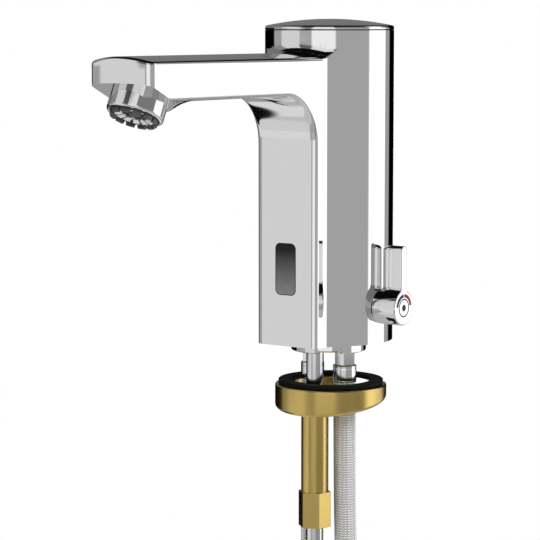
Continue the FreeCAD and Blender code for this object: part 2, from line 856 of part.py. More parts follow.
def valve_group():
    """Pilot valve on top of the manifold: body, diaphragm, bonnet, guide, coil, yoke and plunger."""
    body = piece("valve_body", valve_at)
    rod(body, "valve_radius", "valve_height")
    reach = "(tube_offset + tube_radius + valve_back)"
    block(body, ("arm_width", reach, "arm_height"), ("0", f"-{reach} / 2", "valve_height - arm_height"))
    bore(body, "chamber_radius", "valve_height", ("0", "0", "chamber_floor"))
    bore(body, "seat_radius", "valve_height", ("0", "0", seat_floor))
    rod(body, "nozzle_radius", "nozzle_height", ("0", "0", "chamber_floor"))
    bore(body, "nozzle_bore", "valve_height", ("0", "0", "-overrun"))
    outlet = "-(tube_offset + valve_back)"
    rod(body, "tube_bore - running_gap", "spigot_length", ("0", outlet, "valve_height"))
    bore(
        body,
        "tube_bore / 2",
        "spigot_length + arm_height / 2 + overrun",
        ("0", outlet, "valve_height - arm_height / 2"),
    )
    bore(body, "tube_bore / 2", f"-({outlet})", ("0", outlet, "valve_height - arm_height / 2"), "y")

    diaphragm = piece("valve_diaphragm", valve_at)
    rod(diaphragm, "seat_radius - slip", "diaphragm_thickness", ("0", "0", seat_floor))
    rod(
        diaphragm,
        "bead_radius",
        "diaphragm_thickness + bead_drop + bead_rise",
        ("0", "0", f"{seat_floor} - bead_drop"),
    )
    bore(diaphragm, "pilot_radius / 2", "valve_height", ("0", "0", "chamber_floor"))

    bonnet = piece("valve_bonnet", valve_at)
    rod(bonnet, "seat_radius - slip", f"valve_height - {diaphragm_top}", ("0", "0", diaphragm_top))
    rod(bonnet, "valve_radius", "bonnet_flange", ("0", "0", "valve_height"))
    bore(bonnet, "bonnet_chamber_radius", "bonnet_chamber_height", ("0", "0", diaphragm_top))
    bore(bonnet, "guide_bore", "valve_height", ("0", "0", diaphragm_top))

    guide = piece("plunger_tube", valve_at)
    rod(guide, "guide_radius", "guide_height", ("0", "0", bonnet_top))
    bore(guide, "guide_bore", "guide_height - guide_roof + overrun", ("0", "0", f"{bonnet_top} - overrun"))

    yoke = piece("solenoid_yoke", valve_at)
    inside = "(yoke_width - 2 * yoke_plate)"
    block(yoke, ("yoke_width", "yoke_depth", "coil_height + 2 * yoke_plate"), ("0", "0", bonnet_top))
    pocket(
        yoke,
        (inside, "yoke_depth + 2 * overrun", "coil_height"),
        ("0", "0", f"{bonnet_top} + yoke_plate"),
    )
    bore(yoke, "guide_radius + slip", "2 * guide_height", ("0", "0", f"{bonnet_top} - overrun"))

    coil = piece("solenoid_coil", valve_at)
    rod(coil, "coil_radius", "coil_height", ("0", "0", f"{bonnet_top} + yoke_plate"))
    bore(coil, "guide_radius + slip", "2 * coil_height", ("0", "0", bonnet_top))

    plunger = piece("plunger", valve_at)
    rod(plunger, "guide_bore - running_gap", "plunger_length", ("0", "0", plunger_low))
    pilot = piece("pilot_seal", valve_at)
    rod(pilot, "pilot_radius", "pilot_height", ("0", "0", pilot_low))
    bottom = number(f"manifold_height + {plunger_low} + plunger_length + spring_end_gap")
    top = number(f"manifold_height + {bonnet_top} + guide_height - guide_roof - spring_end_gap")
    centre = Vector(0, number("valve_back"), 0)
    turns = number("spring_turns")
    coil = coil_spring(centre, bottom, top, number("spring_radius"), number("spring_wire"), turns)
    shaped("plunger_spring", coil)


def outlet_group():
    """Tube from the valve up the column and along the spout, and its seal in the tip."""
    start = Vector(0, -number("tube_offset"), number("manifold_height + valve_height"))
    knee = Vector(0, start.y, number(tube_height))
    end = Vector(0, -number("channel_end + tube_socket_depth"), knee.z)
    radius, hollow = number("tube_radius"), number("tube_bore")
    shaped("outlet_tube", tube_along([start, knee, end], radius, hollow, number("tube_bend")))
    seal_ring(
        "tube_seal",
        "tube_radius + slip + tube_seal_wire",
        "tube_seal_wire",
        ("0", "-channel_end - tube_socket_depth / 2", tube_height),
        "y",
    )


def aerator_group():
    """Slanted outlet: screwed housing with a notched mouth, jet former and washer."""
    housing = piece("aerator_housing", ("0", aerator_y, aerator_z))
    tilted(housing)
    points = [
        ("aerator_lip_radius", "-aerator_length"),
        ("aerator_mouth_radius", "-aerator_length"),
        ("aerator_mouth_radius", "-aerator_length + aerator_mouth_height"),
        ("aerator_radius", "-aerator_length + aerator_mouth_height"),
        ("aerator_radius", "0"),
        ("aerator_thread_radius", "0"),
        ("aerator_thread_radius", "aerator_thread_length"),
        ("aerator_bore", "aerator_thread_length"),
        ("aerator_bore", "-aerator_length + aerator_lip_height"),
        ("aerator_lip_radius", "-aerator_length + aerator_lip_height"),
    ]
    turned(housing, points)
    low = number("-aerator_length + aerator_mouth_height")
    rim = number("aerator_radius")
    ease(
        housing,
        "hub_edge",
        lambda e, m: near(m.z, low) and near(math.hypot(m.x, m.y), rim),
        "Chamfer",
    )
    pocket(
        housing,
        ("aerator_key_width", "2 * aerator_key_depth", "aerator_key_height"),
        ("0", "-aerator_radius", "-aerator_length / 2 - aerator_key_height / 2"),
    )
    notch_long = "(aerator_mouth_radius - aerator_lip_radius)"
    notch = pocket(
        housing,
        (f"{notch_long} + overrun", "aerator_notch_width", "aerator_notch_depth + overrun"),
        (f"aerator_lip_radius + {notch_long} / 2", "0", "-aerator_length - overrun"),
    )
    repeat(housing, notch, "aerator_notches")

    insert = piece("aerator_insert", ("0", aerator_y, aerator_z))
    tilted(insert)
    low_insert = "-aerator_length + aerator_lip_height"
    rod(insert, "aerator_bore - slip", "insert_height", ("0", "0", low_insert))
    long = "(aerator_bore - slip - insert_rim - insert_hub)"
    slit = pocket(
        insert,
        (long, "insert_slot", "insert_height + 2 * overrun"),
        (f"insert_hub + {long} / 2", "0", f"{low_insert} - overrun"),
    )
    repeat(insert, slit, "insert_slots")

    washer = piece("aerator_washer", ("0", aerator_y, aerator_z))
    tilted(washer)
    rod(washer, "aerator_thread_radius", "washer_thickness", ("0", "0", "aerator_thread_length"))
    washer_low = ("0", "0", "aerator_thread_length - overrun")
    bore(washer, "washer_bore", "washer_thickness + 2 * overrun", washer_low)


lever_axis = ("0", "0", "lever_height")
gasket_end = "(gasket_thickness - cartridge_start)"
disc_start = f"({gasket_end} + cartridge_floor)"
moving_start = f"({disc_start} + disc_thickness + running_gap)"
spindle_start = f"({moving_start} + disc_thickness)"
bush_start = f"({spindle_start} + spindle_flange + lever_gap)"
cartridge_end = f"({gasket_end} + cartridge_length)"
nut_end = f"({cartridge_end} + nut_length)"
spline_start = f"({spindle_start} + spindle_flange + spindle_length)"
hub_start = "(sleeve_end + lever_gap)"


def pair_of_ports(body, start, length):
    for side in ("-", ""):
        bore(body, "port_radius", length, ("0", f"{side}port_offset", start))


def cartridge_group():
    """Mixing cartridge across the manifold: gasket, housing, ceramic discs, spindle, bush and nut."""
    gasket = piece("cartridge_gasket", lever_axis, "x")
    rod(gasket, "cartridge_radius", "gasket_thickness", ("0", "0", "-cartridge_start"))
    pair_of_ports(gasket, "-cartridge_start - overrun", "gasket_thickness + 2 * overrun")

    housing = piece("cartridge_housing", lever_axis, "x")
    rod(housing, "cartridge_radius", "cartridge_length", ("0", "0", gasket_end))
    bore(housing, "cartridge_radius - cartridge_wall", "cartridge_length", ("0", "0", disc_start))
    pair_of_ports(housing, f"{gasket_end} - overrun", "cartridge_floor + 2 * overrun")

    fixed = piece("disc_fixed", lever_axis, "x")
    rod(fixed, "disc_radius", "disc_thickness", ("0", "0", disc_start))
    pair_of_ports(fixed, f"{disc_start} - overrun", "disc_thickness + 2 * overrun")

    moving = piece("disc_moving", lever_axis, "x")
    rod(moving, "disc_radius - running_gap", "disc_thickness", ("0", "0", moving_start))
    port = ("0", "port_offset", f"{moving_start} - overrun")
    bore(moving, "port_radius", "disc_thickness + overrun", port)

    spindle = piece("spindle", lever_axis, "x")
    spline_end = f"({spline_start} + spline_length)"
    points = [
        ("0", spindle_start),
        ("spindle_flange_radius", spindle_start),
        ("spindle_flange_radius", f"{spindle_start} + spindle_flange"),
        ("spindle_radius", f"{spindle_start} + spindle_flange"),
        ("spindle_radius", spline_start),
        ("spline_radius", spline_start),
        ("spline_radius", spline_end),
        ("0", spline_end),
    ]
    turned(spindle, points)
    bore(
        spindle,
        "screw_radius + running_gap",
        "screw_length + overrun",
        ("0", "0", "hub_end - screw_head - screw_length - running_gap"),
    )
    flute = pocket(
        spindle,
        ("2 * spline_groove", "spline_groove", "spline_length + overrun"),
        ("spline_radius", "0", spline_start),
    )
    repeat(spindle, flute, "spline_count")

    bush = piece("spindle_bush", lever_axis, "x")
    bush_length = f"({cartridge_end} - {bush_start})"
    rod(bush, "cartridge_radius - cartridge_wall - running_gap", bush_length, ("0", "0", bush_start))
    bore(bush, "spindle_radius + running_gap", "2 * cartridge_length", ("0", "0", spindle_start))

    nut = piece("cartridge_nut", lever_axis, "x")
    rod(nut, "cartridge_radius", "nut_length", ("0", "0", cartridge_end))
    bore(nut, "spindle_radius + running_gap", "2 * nut_length", ("0", "0", f"{cartridge_end} - overrun"))
    groove = f"({cartridge_end} + nut_groove_start)"
    bore(nut, "spindle_radius + nut_groove_depth", "nut_groove_width", ("0", "0", groove))
    seal_ring(
        "spindle_seal",
        "spindle_radius + running_gap + spindle_seal_wire",
        "spindle_seal_wire",
        (f"{groove} + nut_groove_width / 2", "0", "lever_height"),
        "x",
    )
    limiter = piece("limiter_ring", lever_axis, "x")
    rod(limiter, "limiter_radius", "limiter_thickness", ("0", "0", nut_end))
    bore(limiter, "limiter_bore", "limiter_thickness + 2 * overrun", ("0", "0", f"{nut_end} - overrun"))


def lever_group():
    """Sleeve on the column, and the lever: round hub, upright paddle, screw and two colour marks."""
    sleeve = piece("lever_sleeve", lever_axis, "x")
    rod(sleeve, "sleeve_radius", f"sleeve_end - {nut_end}", ("0", "0", nut_end))
    bore(sleeve, "sleeve_radius - sleeve_wall", "sleeve_end", ("0", "0", f"{nut_end} - overrun"))

    lever = piece("lever_handle", lever_axis)
    length = f"(hub_end - {hub_start})"
    rod(lever, "hub_radius", length, (hub_start, "0", "0"), "x")
    wide = f"({length} - paddle_setback)"
    block(lever, (wide, "paddle_thickness", "paddle_top"), (f"hub_end - {wide} / 2", "0", "0"))
    end, top = number("hub_end"), number("paddle_top")
    half, hub = number("paddle_thickness / 2"), number("hub_radius")
    ease(lever, "paddle_root", lambda e, m: near(abs(m.y), half) and 0 < m.z < hub)
    ease(lever, "paddle_edge", lambda e, m: near(m.z, top))
    ease(lever, "hub_edge", lambda e, m: near(m.x, end))
    start = f"{hub_start} - overrun"
    bore(lever, "spline_radius + running_gap", "hub_socket_depth + overrun", (start, "0", "0"), "x")
    bore(lever, "screw_radius + running_gap", "hub_end", (start, "0", "0"), "x")
    screw_seat = ("hub_end - screw_head - running_gap", "0", "0")
    bore(lever, "screw_head_radius + running_gap", "hub_end", screw_seat, "x")
    groove = [
        ("marker_inner", "hub_end - marker_depth"),
        ("marker_outer", "hub_end - marker_depth"),
        ("marker_outer", "hub_end + overrun"),
        ("marker_inner", "hub_end + overrun"),
    ]
    sketch = outline(lever, "XZ_Plane", [(across, up) for up, across in groove])
    ring = lever.newObject("PartDesign::Groove", "lever_groove")
    ring.Profile = sketch
    ring.ReferenceAxis = (sketch, ["H_Axis"])
    ring.Angle = 360
    pocket(
        lever,
        ("recess_length", "recess_width", "2 * recess_depth"),
        (f"{hub_start} + {length} / 2", "0", "-hub_radius - recess_depth"),
    )

    for colour, backwards in (("blue", False), ("red", True)):
        marker = piece("marker_" + colour, lever_axis)
        section = [
            ("hub_end - marker_depth", "marker_inner + running_gap"),
            ("hub_end - marker_depth", "marker_outer - running_gap"),
            ("hub_end", "marker_outer - running_gap"),
            ("hub_end", "marker_inner + running_gap"),
        ]
        sketch = outline(marker, "XZ_Plane", section)
        arc = marker.newObject("PartDesign::Revolution", "marker_arc")
        arc.Profile = sketch
        arc.ReferenceAxis = (sketch, ["H_Axis"])
        arc.Reversed = backwards
        bind(arc, Angle="marker_angle")

    screw = piece("lever_screw", lever_axis, "x")
    shank = "(hub_end - screw_head - screw_length)"
    rod(screw, "screw_radius", "screw_length", ("0", "0", shank))
    rod(screw, "screw_head_radius", "screw_head", ("0", "0", f"{shank} + screw_length"))
    drive = hexagon_hole(screw, "2 * screw_drive", "screw_head", ("0", "0", "hub_end - screw_head / 2"))
    drive.Label = "screw_socket"


def hexagon_hole(body, across, depth, at):
    made = body.newObject("PartDesign::SubtractivePrism", body.Label + "_socket")
    made.Polygon = 6
    bind(made, Circumradius=f"({across}) / sqrt(3)", Height=depth)
    place(made, at)
    return made


def base_group():
    """Manifold, the ring that holds it, the deck seal and the stud."""
    manifold = piece("manifold")
    flange_low = "(ledge_height - flange_thickness)"
    rod(manifold, "boss_base_radius", f"boss_base_depth + {flange_low}", ("0", "0", "-boss_base_depth"))
    rod(manifold, "flange_radius", "flange_thickness", ("0", "0", flange_low))
    rod(manifold, "manifold_radius", "manifold_height - ledge_height", ("0", "0", "ledge_height"))
    bore(
        manifold,
        "cartridge_bore",
        "manifold_radius + cartridge_start + overrun",
        ("-cartridge_start", "0", "lever_height"),
        "x",
    )
    low = "-boss_base_depth - overrun"
    for side in ("-", ""):
        spot = f"{side}inlet_offset"
        bore(manifold, "inlet_radius", f"boss_base_depth + overrun + {flange_low}", (spot, "0", low))
        bore(manifold, "inlet_way", "boss_base_depth + lever_height", (spot, "0", low))
    bore(manifold, "valve_inlet_radius", "manifold_height", ("0", "valve_back", "lever_height"))
    grip = "stud_grip + overrun + running_gap"
    bore(manifold, "stud_radius + stud_play", grip, ("0", "-stud_offset", low))

    ring = piece("base_ring")
    points = [
        ("ring_bore", "-spigot_depth"),
        ("spigot_radius", "-spigot_depth"),
        ("spigot_radius", "0"),
        ("base_seal_inner", "0"),
        ("base_seal_inner", "base_seal_thickness"),
        ("base_seal_outer", "base_seal_thickness"),
        ("base_seal_outer", "0"),
        ("flange_radius", "0"),
        ("flange_radius", flange_low),
        ("ring_bore", flange_low),
    ]
    turned(ring, points)
    across = "(ring_bore * sin(notch_turn * 1 deg))", "(-ring_bore * cos(notch_turn * 1 deg))"
    notch = feature(
        ring,
        "SubtractiveBox",
        (
            f"{across[0]} - notch_width / 2 * (cos(notch_turn * 1 deg) + sin(notch_turn * 1 deg))",
            f"{across[1]} - notch_width / 2 * (sin(notch_turn * 1 deg) - cos(notch_turn * 1 deg))",
            "-spigot_depth - overrun",
        ),
        Length="notch_width",
        Width="notch_width",
        Height="notch_depth + overrun",
    )
    turn(notch, Vector(0, 0, 1), "notch_turn")

    seal = piece("base_seal")
    rod(seal, "base_seal_outer", "base_seal_thickness")
    bore(seal, "base_seal_inner", "base_seal_thickness + 2 * overrun", ("0", "0", "-overrun"))

    stud = piece("stud", ("0", "-stud_offset", "-stud_bottom"))
    rod(stud, "stud_radius", "stud_bottom - boss_base_depth + stud_grip")
    ends = (0, number("stud_bottom - boss_base_depth + stud_grip"))
    ease(stud, "stud_chamfer", lambda e, m: near(m.z, ends[0]) or near(m.z, ends[1]), "Chamfer")


clamp_top = "(-deck_thickness - gasket_height)"


def clamp_group():
    """Rubber ring, wedge-shaped brass clamp and the long nut that draws it up the stud."""
    clamp_middle = ("clamp_aside", "clamp_behind", "0")
    gasket = piece("flange_gasket", clamp_middle)
    rod(gasket, "gasket_outer", "gasket_height", ("0", "0", clamp_top))
    bore(gasket, "gasket_inner", "gasket_height + 2 * overrun", ("0", "0", f"{clamp_top} - overrun"))

    clamp = piece("clamp_flange", clamp_middle)
    rod(clamp, "clamp_radius", "clamp_front", ("0", "0", f"{clamp_top} - clamp_front"))
    far = "(clamp_radius + overrun)"
    slope = "((clamp_front - clamp_back) / (2 * clamp_radius))"
    wedge = [
        (f"-{far}", f"{clamp_top} - clamp_front - {slope} * overrun"),
        (f"-{far}", f"{clamp_top} - clamp_front - overrun"),
        (far, f"{clamp_top} - clamp_front - overrun"),
        (far, f"{clamp_top} - clamp_back + {slope} * overrun"),
    ]
    slab(clamp, "YZ_Plane", wedge, f"2 * {far}", cut=True)
    side = "sqrt(clamp_bore * clamp_bore - clamp_web * clamp_web)"
    opening = [(f"-{side}", "-clamp_web"), (side, "-clamp_web"), ("0", "clamp_bore")]
    through = "2 * (deck_thickness + gasket_height + clamp_front + overrun)"
    slab(clamp, "XY_Plane", opening, through, {1: "clamp_bore", 2: "clamp_bore"}, cut=True)
    feature(
        clamp,
        "SubtractiveBox",
        ("clamp_gap_aside - clamp_gap / 2", "0", f"{clamp_top} - clamp_front - overrun"),
        Length="clamp_gap",
        Width=far,
        Height="clamp_front + 2 * overrun",
    )
    stud_spot = ("-clamp_aside", "-stud_offset - clamp_behind")
    rod(clamp, "pad_radius", "pad_depth", (*stud_spot, f"{clamp_top} - pad_depth"))
    bore(clamp, "clamp_hole", "2 * clamp_front", (*stud_spot, f"{clamp_top} - clamp_front - overrun"))

    top = f"({clamp_top} - pad_depth - sleeve_nut_gap)"
    nut = piece("sleeve_nut", ("0", "-stud_offset", f"{top} - sleeve_nut_length - hex_height"))
    hexagon(nut, "hex_across", "hex_height", angle="hex_turn")
    rod(nut, "sleeve_nut_radius", "sleeve_nut_length", ("0", "0", "hex_height"))
    bore(nut, "sleeve_nut_bore", "2 * sleeve_nut_length", ("0", "0", "-overrun"))


def hose_group(name, side):
    """One hose: nipple, ferrules, braided tube, tail, washer and the nut of its union."""
    x = f"{side}inlet_offset"
    thread = "(ledge_height - flange_thickness + boss_base_depth - running_gap)"
    nipple_low = "(-boss_base_depth - nipple_height)"
    hose_top = f"({nipple_low} - ferrule_length)"
    nipple = piece("nipple_" + name, (x, "0", "0"))
    hexagon(nipple, "nipple_across", "nipple_height", ("0", "0", nipple_low))
    rod(nipple, "nipple_thread", thread, ("0", "0", "-boss_base_depth"))
    rod(nipple, "nipple_stem", "ferrule_length", ("0", "0", hose_top))
    way = "2 * ferrule_length + 2 * nipple_height + overrun"
    bore(nipple, "tail_bore", way, ("0", "0", f"{hose_top} - overrun"))

    end_x = f"{side}hose_spread"
    end_y = number("hose_spread") * HOSE_BACK_SHARES[-1]
    drop = number(f"hose_end + {hose_top}")
    start = Vector(number(x), 0, number(hose_top))
    spread = number(end_x) - start.x
    points = [
        start + Vector(spread * out, number("hose_spread") * back, -drop * down)
        for down, out, back in zip(HOSE_DROP_SHARES, HOSE_SPREAD_SHARES, HOSE_BACK_SHARES)
    ]
    shaped("hose_" + name, tube_along(points, number("hose_radius"), number("hose_bore")))

    back = f"hose_spread * {HOSE_BACK_SHARES[-1]}"
    foot = "(-hose_end - ferrule_length)"
    ferrules = piece("ferrules_" + name)
    for spot in ((x, "0", hose_top), (end_x, back, foot)):
        rod(ferrules, "ferrule_radius", "ferrule_length", spot)
        low = f"{spot[2]} - overrun"
        bore(ferrules, "ferrule_bore", "ferrule_length + 2 * overrun", (spot[0], spot[1], low))

    tail = piece("union_tail_" + name, (end_x, back, foot))
    neck = "(tail_neck_length + tail_flange_height)"
    rod(tail, "nipple_stem", "ferrule_length")
    rod(tail, "tail_neck", "tail_neck_length", ("0", "0", "-tail_neck_length"))
    rod(tail, "tail_flange", "tail_flange_height", ("0", "0", f"-{neck}"))
    bore(tail, "tail_bore", f"{neck} + ferrule_length + 2 * overrun", ("0", "0", f"-{neck} - overrun"))

    washer = piece("union_washer_" + name, (end_x, back, foot))
    low = f"-{neck} - seat_washer_thickness"
    rod(washer, "tail_flange", "seat_washer_thickness", ("0", "0", low))
    bore(washer, "seat_washer_bore", "seat_washer_thickness + 2 * overrun", ("0", "0", f"{low} - overrun"))

    nut = piece("union_nut_" + name, (end_x, back, foot))
    hexagon(nut, "union_across", "union_height", ("0", "0", "-union_drop - union_height"))
    bore(nut, "tail_neck + union_play", "2 * union_height", ("0", "0", "-2 * union_height"))
    mouth = "(-union_drop - union_height)"
    bore(nut, "union_thread", "union_thread_length + overrun", ("0", "0", f"{mouth} - overrun"))
    relief = "union_height - union_roof - union_thread_length"
    bore(nut, "union_relief", relief, ("0", "0", f"{mouth} + union_thread_length"))


body_shell()
top_cap()
battery_group()
sensor_group()
valve_group()
outlet_group()
aerator_group()
cartridge_group()
lever_group()
base_group()
clamp_group()
hose_group("hot", "-")
hose_group("cold", "")
document.recompute()

for thing in document.Objects:
    if "Invalid" in thing.State or "Error" in thing.State:
        raise RuntimeError(f"{thing.Label} did not build: {thing.State}")
for node in nodes:
    if node.Shape.isNull() or not node.Shape.isValid() or not node.Shape.Solids:
        raise RuntimeError(f"{node.Label} has no valid solid")

os.makedirs("parts", exist_ok=True)
for node in nodes:
    node.Shape.exportStep(f"parts/{node.Label}.step")
print(f"{len(nodes)} sub-parts written")
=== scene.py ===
"""Looks of a touch-free basin mixer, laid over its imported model."""

import math

import bmesh
import bpy
import numpy as np
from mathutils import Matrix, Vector


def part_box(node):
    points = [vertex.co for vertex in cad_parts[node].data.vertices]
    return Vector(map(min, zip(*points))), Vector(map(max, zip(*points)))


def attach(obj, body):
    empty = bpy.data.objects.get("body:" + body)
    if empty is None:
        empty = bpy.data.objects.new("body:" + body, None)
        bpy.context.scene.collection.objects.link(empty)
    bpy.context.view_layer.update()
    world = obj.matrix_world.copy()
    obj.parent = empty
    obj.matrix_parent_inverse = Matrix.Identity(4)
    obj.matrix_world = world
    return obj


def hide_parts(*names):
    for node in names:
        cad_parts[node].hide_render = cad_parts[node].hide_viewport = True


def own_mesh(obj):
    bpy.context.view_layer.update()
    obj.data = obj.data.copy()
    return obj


bl_info = {
    "name": "Basin mixer looks",
    "version": (1, 0, 0),
    "blender": (4, 5, 0),
    "location": "3D View > Sidebar > Mixer",
    "description": "Builds the visible skins, finishes and studio of a touch-free basin mixer",
    "category": "Object",
}

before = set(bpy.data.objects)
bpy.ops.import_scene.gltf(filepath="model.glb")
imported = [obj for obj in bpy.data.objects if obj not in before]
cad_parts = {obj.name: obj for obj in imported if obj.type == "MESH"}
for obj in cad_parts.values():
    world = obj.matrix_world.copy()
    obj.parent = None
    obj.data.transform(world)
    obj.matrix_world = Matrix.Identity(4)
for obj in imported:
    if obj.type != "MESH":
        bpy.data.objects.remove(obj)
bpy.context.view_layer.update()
MM = 0.001
WELD = 2e-6
SHARP_ANGLE = math.radians(34)
EVEN_WEIGHT = 100
SIDES = (("hot", -1), ("cold", 1))


def length(name, millimetres, description):
    """A length property, kept in metres and told in millimetres."""
    return bpy.props.FloatProperty(
        name=name, description=description, default=millimetres * MM, unit="LENGTH", precision=5
    )


def colour(name, rgb, description):
    """A colour property."""
    return bpy.props.FloatVectorProperty(
        name=name, description=description, default=(*rgb, 1.0), size=4, subtype="COLOR", min=0, max=1
    )


class MixerSizes(bpy.types.PropertyGroup):
    """Sizes of the visible pieces."""

    column_radius: length("Column radius", 28.5, "Radius of the round column")
    column_top: length("Column top", 137.4, "Height of the column under its cap")
    seam: length("Seam", 0.4, "Height of the groove under the cap")
    slab_half: length("Slab half width", 15.8, "Half the width of slab and spout")
    slab_front: length("Slab front", 33.4, "From the axis to the front of the slab")
    reach: length("Reach", 146.5, "From the axis to the tip of the spout")
    edge_height: length("Spout edge height", 125.2, "Height of the spout's upper side edges")
    crown: length("Crown", 2.2, "Rise of the spout's top over its side edges")
    underside: length("Underside", 109.5, "Height of the spout's underside")
    arch: length("Arch", 21.0, "Radius between slab and spout")
    edge: length("Edge", 2.1, "Rounding of the spout's lower edges")
    nose: length("Nose", 70.0, "Radius of the spout's end, seen from above")
    shoulder: length("Shoulder", 5.5, "Radius between the front faces and their corners, seen from above")
    nose_corner: length("Nose corner", 3.4, "Rounding of the spout's end corners")
    front_corner: length("Front corner", 2.4, "Rounding of the slab's front corners")
    root: length("Root", 10.0, "Hollow rounding between the slab's sides and the column")
    rim: length("Rim", 1.6, "Rounding of the spout's upper edges")
    tip_low: length("Tip", 117.0, "Height of the lower edge of the spout's end")
    boss: length("Boss", 13.9, "Radius of the slanted pad over the aerator")
    boss_run: length("Boss run", 17.0, "How far the pad runs out into the underside")
    aerator_setback: length("Aerator setback", 13.6, "From the tip back to the aerator's axis")
    lever_height: length("Lever height", 16.3, "Height of the lever's axis")
    hose_radius: length("Hose radius", 5.1, "Radius of a hose over its braid")
    aerator_tilt: bpy.props.FloatProperty(
        name="Aerator tilt", description="Slant of the aerator", default=math.radians(25), subtype="ANGLE"
    )


class MixerColours(bpy.types.PropertyGroup):
    """Colours of the finishes, each under its finish's name."""

    chrome: colour("Chrome", (0.815, 0.815, 0.817), "Polished plating")
    nickel: colour("Nickel", (0.8313, 0.8313, 0.83334), "Plating of the hose fittings")
    brass: colour("Brass", (0.66, 0.485, 0.155), "Machined brass")
    steel: colour("Steel", (0.78, 0.78, 0.79), "Stud and springs")
    # Near black: painted shade of the screw's socket, laid over the whole screw head.
    dark_steel: colour("Dark steel", (0.05, 0.045, 0.045), "Screw of the lever")
    copper: colour("Copper", (0.62, 0.3, 0.15), "Winding of the coil")
    braid: colour("Braid", (0.97, 0.965, 0.95), "Woven wire of the hoses")
    liner: colour("Liner", (0.03, 0.03, 0.03), "Rubber tube under the braid")
    rubber: colour("Rubber", (0.004, 0.004, 0.0042), "Seals and gasket")
    window: colour("Window", (0.004, 0.004, 0.004), "Dark filter over the sensor")
    blue: colour("Blue", (0.008, 0.011, 0.06), "Cold mark")
    red: colour("Red", (0.2, 0.004, 0.012), "Hot mark")
    ceramic: colour("Ceramic", (0.85, 0.83, 0.78), "Discs of the cartridge")
    battery: colour("Battery", (0.1, 0.14, 0.26), "Sleeve of the battery")
    white_plastic: colour("White plastic", (0.7, 0.7, 0.68), "Valve and cartridge")
    grey_plastic: colour("Grey plastic", (0.045, 0.045, 0.047), "Mouth of the aerator")
    black_plastic: colour("Black plastic", (0.02, 0.02, 0.022), "Sensor, module and battery tray")


def sizes():
    """All sizes in millimetres."""
    group = bpy.context.scene.mixer_sizes
    found = {name: getattr(group, name) for name in MixerSizes.__annotations__}
    return {name: size if name == "aerator_tilt" else size / MM for name, size in found.items()}


class Skin:
    """Vertices and faces of one piece, gathered from grids and flat faces, in millimetres."""

    def __init__(self):
        self.points = []
        self.faces = []
        self.count = 0

    def add(self, points):
        """Keeps points and gives the number of the first."""
        points = np.asarray(points, float).reshape(-1, 3)
        start = self.count
        self.points.append(points)
        self.count += len(points)
        return start

    def grid(self, points, around=False, closed=False):
        """Quads between neighbouring rows and columns; around joins the last column to the first one,
        closed the last row to the first one."""
        rows, columns = points.shape[:2]
        start = self.add(points)
        row = np.arange(rows if closed else rows - 1)
        column = np.arange(columns if around else columns - 1)
        r, c = [a.ravel() for a in np.meshgrid(row, column, indexing="ij")]
        here, below = r * columns, (r + 1) % rows * columns
        after = (c + 1) % columns
        quads = np.stack([here + c, here + after, below + after, below + c], 1)
        self.faces += (quads + start).tolist()
        return self

    def flat(self, points):
        """One flat face round a loop of points."""
        start = self.add(points)
        self.faces.append(list(range(start, self.count)))
        return self

    def mesh(self, name):
        """The gathered points and faces as a mesh in metres."""
        mesh = bpy.data.meshes.new(name)
        mesh.from_pydata((np.concatenate(self.points) * MM).tolist(), [], self.faces)
        return mesh

    def build(self, name, look, body, slot, nodes=(), weighted=True):
        """Makes the mesh object, welds it, turns its faces outwards and rides it on its body."""
        mesh = self.mesh(name)
        work = bmesh.new()
        work.from_mesh(mesh)
        bmesh.ops.remove_doubles(work, verts=work.verts, dist=WELD)
        bmesh.ops.dissolve_degenerate(work, edges=work.edges, dist=WELD)
        bmesh.ops.recalc_face_normals(work, faces=work.faces)
        work.to_mesh(mesh)
        work.free()
        mesh.shade_smooth()
        mesh.set_sharp_from_angle(angle=SHARP_ANGLE)
        made = bpy.data.objects.new(name, mesh)
        bpy.context.scene.collection.objects.link(made)
        mesh.materials.append(finish(look))
        if weighted:
            even = made.modifiers.new("even_normals", "WEIGHTED_NORMAL")
            even.keep_sharp = True
            even.weight = EVEN_WEIGHT
        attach(made, body)
        if nodes:
            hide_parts(*nodes)
        return made


def rounded(points, radii, steps=6):
    """A line of points whose inner corners are arcs: a corner of radius r is cut r / tan(half angle) before
    and after it."""
    points = np.asarray(points, float)
    line = [points[:1]]
    for before, corner, after, radius in zip(points[:-2], points[1:-1], points[2:], radii):
        if radius == 0:
            line.append(corner[None])
            continue
        a = (before - corner) / np.linalg.norm(before - corner)
        b = (after - corner) / np.linalg.norm(after - corner)
        half = math.acos(np.clip(a @ b, -1, 1)) / 2
        centre = corner + (a + b) / np.linalg.norm(a + b) * radius / math.sin(half)
        start = corner + a * radius / math.tan(half) - centre
        stop = corner + b * radius / math.tan(half) - centre
        sweep = math.pi - 2 * half
        t = np.linspace(0, 1, steps + 1)[:, None]
        arc = (np.sin((1 - t) * sweep) * start + np.sin(t * sweep) * stop) / math.sin(sweep)
        line.append(centre + arc)
    line.append(points[-1:])
    return np.concatenate(line)


def loop(points, radii, steps=6):
    """A closed outline with rounded corners."""
    points = list(points)
    line = rounded([points[-1]] + points + [points[0]], radii, steps)
    return line[1:-1]


def axes_of(*axes):
    """Three directions as arrays."""
    return tuple(np.array(axis, float) for axis in axes)


UPRIGHT = axes_of((1, 0, 0), (0, 1, 0), (0, 0, 1))
SIDEWAYS = axes_of((0, 1, 0), (0, 0, 1), (1, 0, 0))
FORWARD = axes_of((1, 0, 0), (0, 0, 1), (0, -1, 0))


def slanted(tilt):
    """Axes of the aerator: X, along the pad, and up its own axis."""
    sine, cosine = math.sin(tilt), math.cos(tilt)
    return axes_of((1, 0, 0), (0, cosine, -sine), (0, sine, cosine))


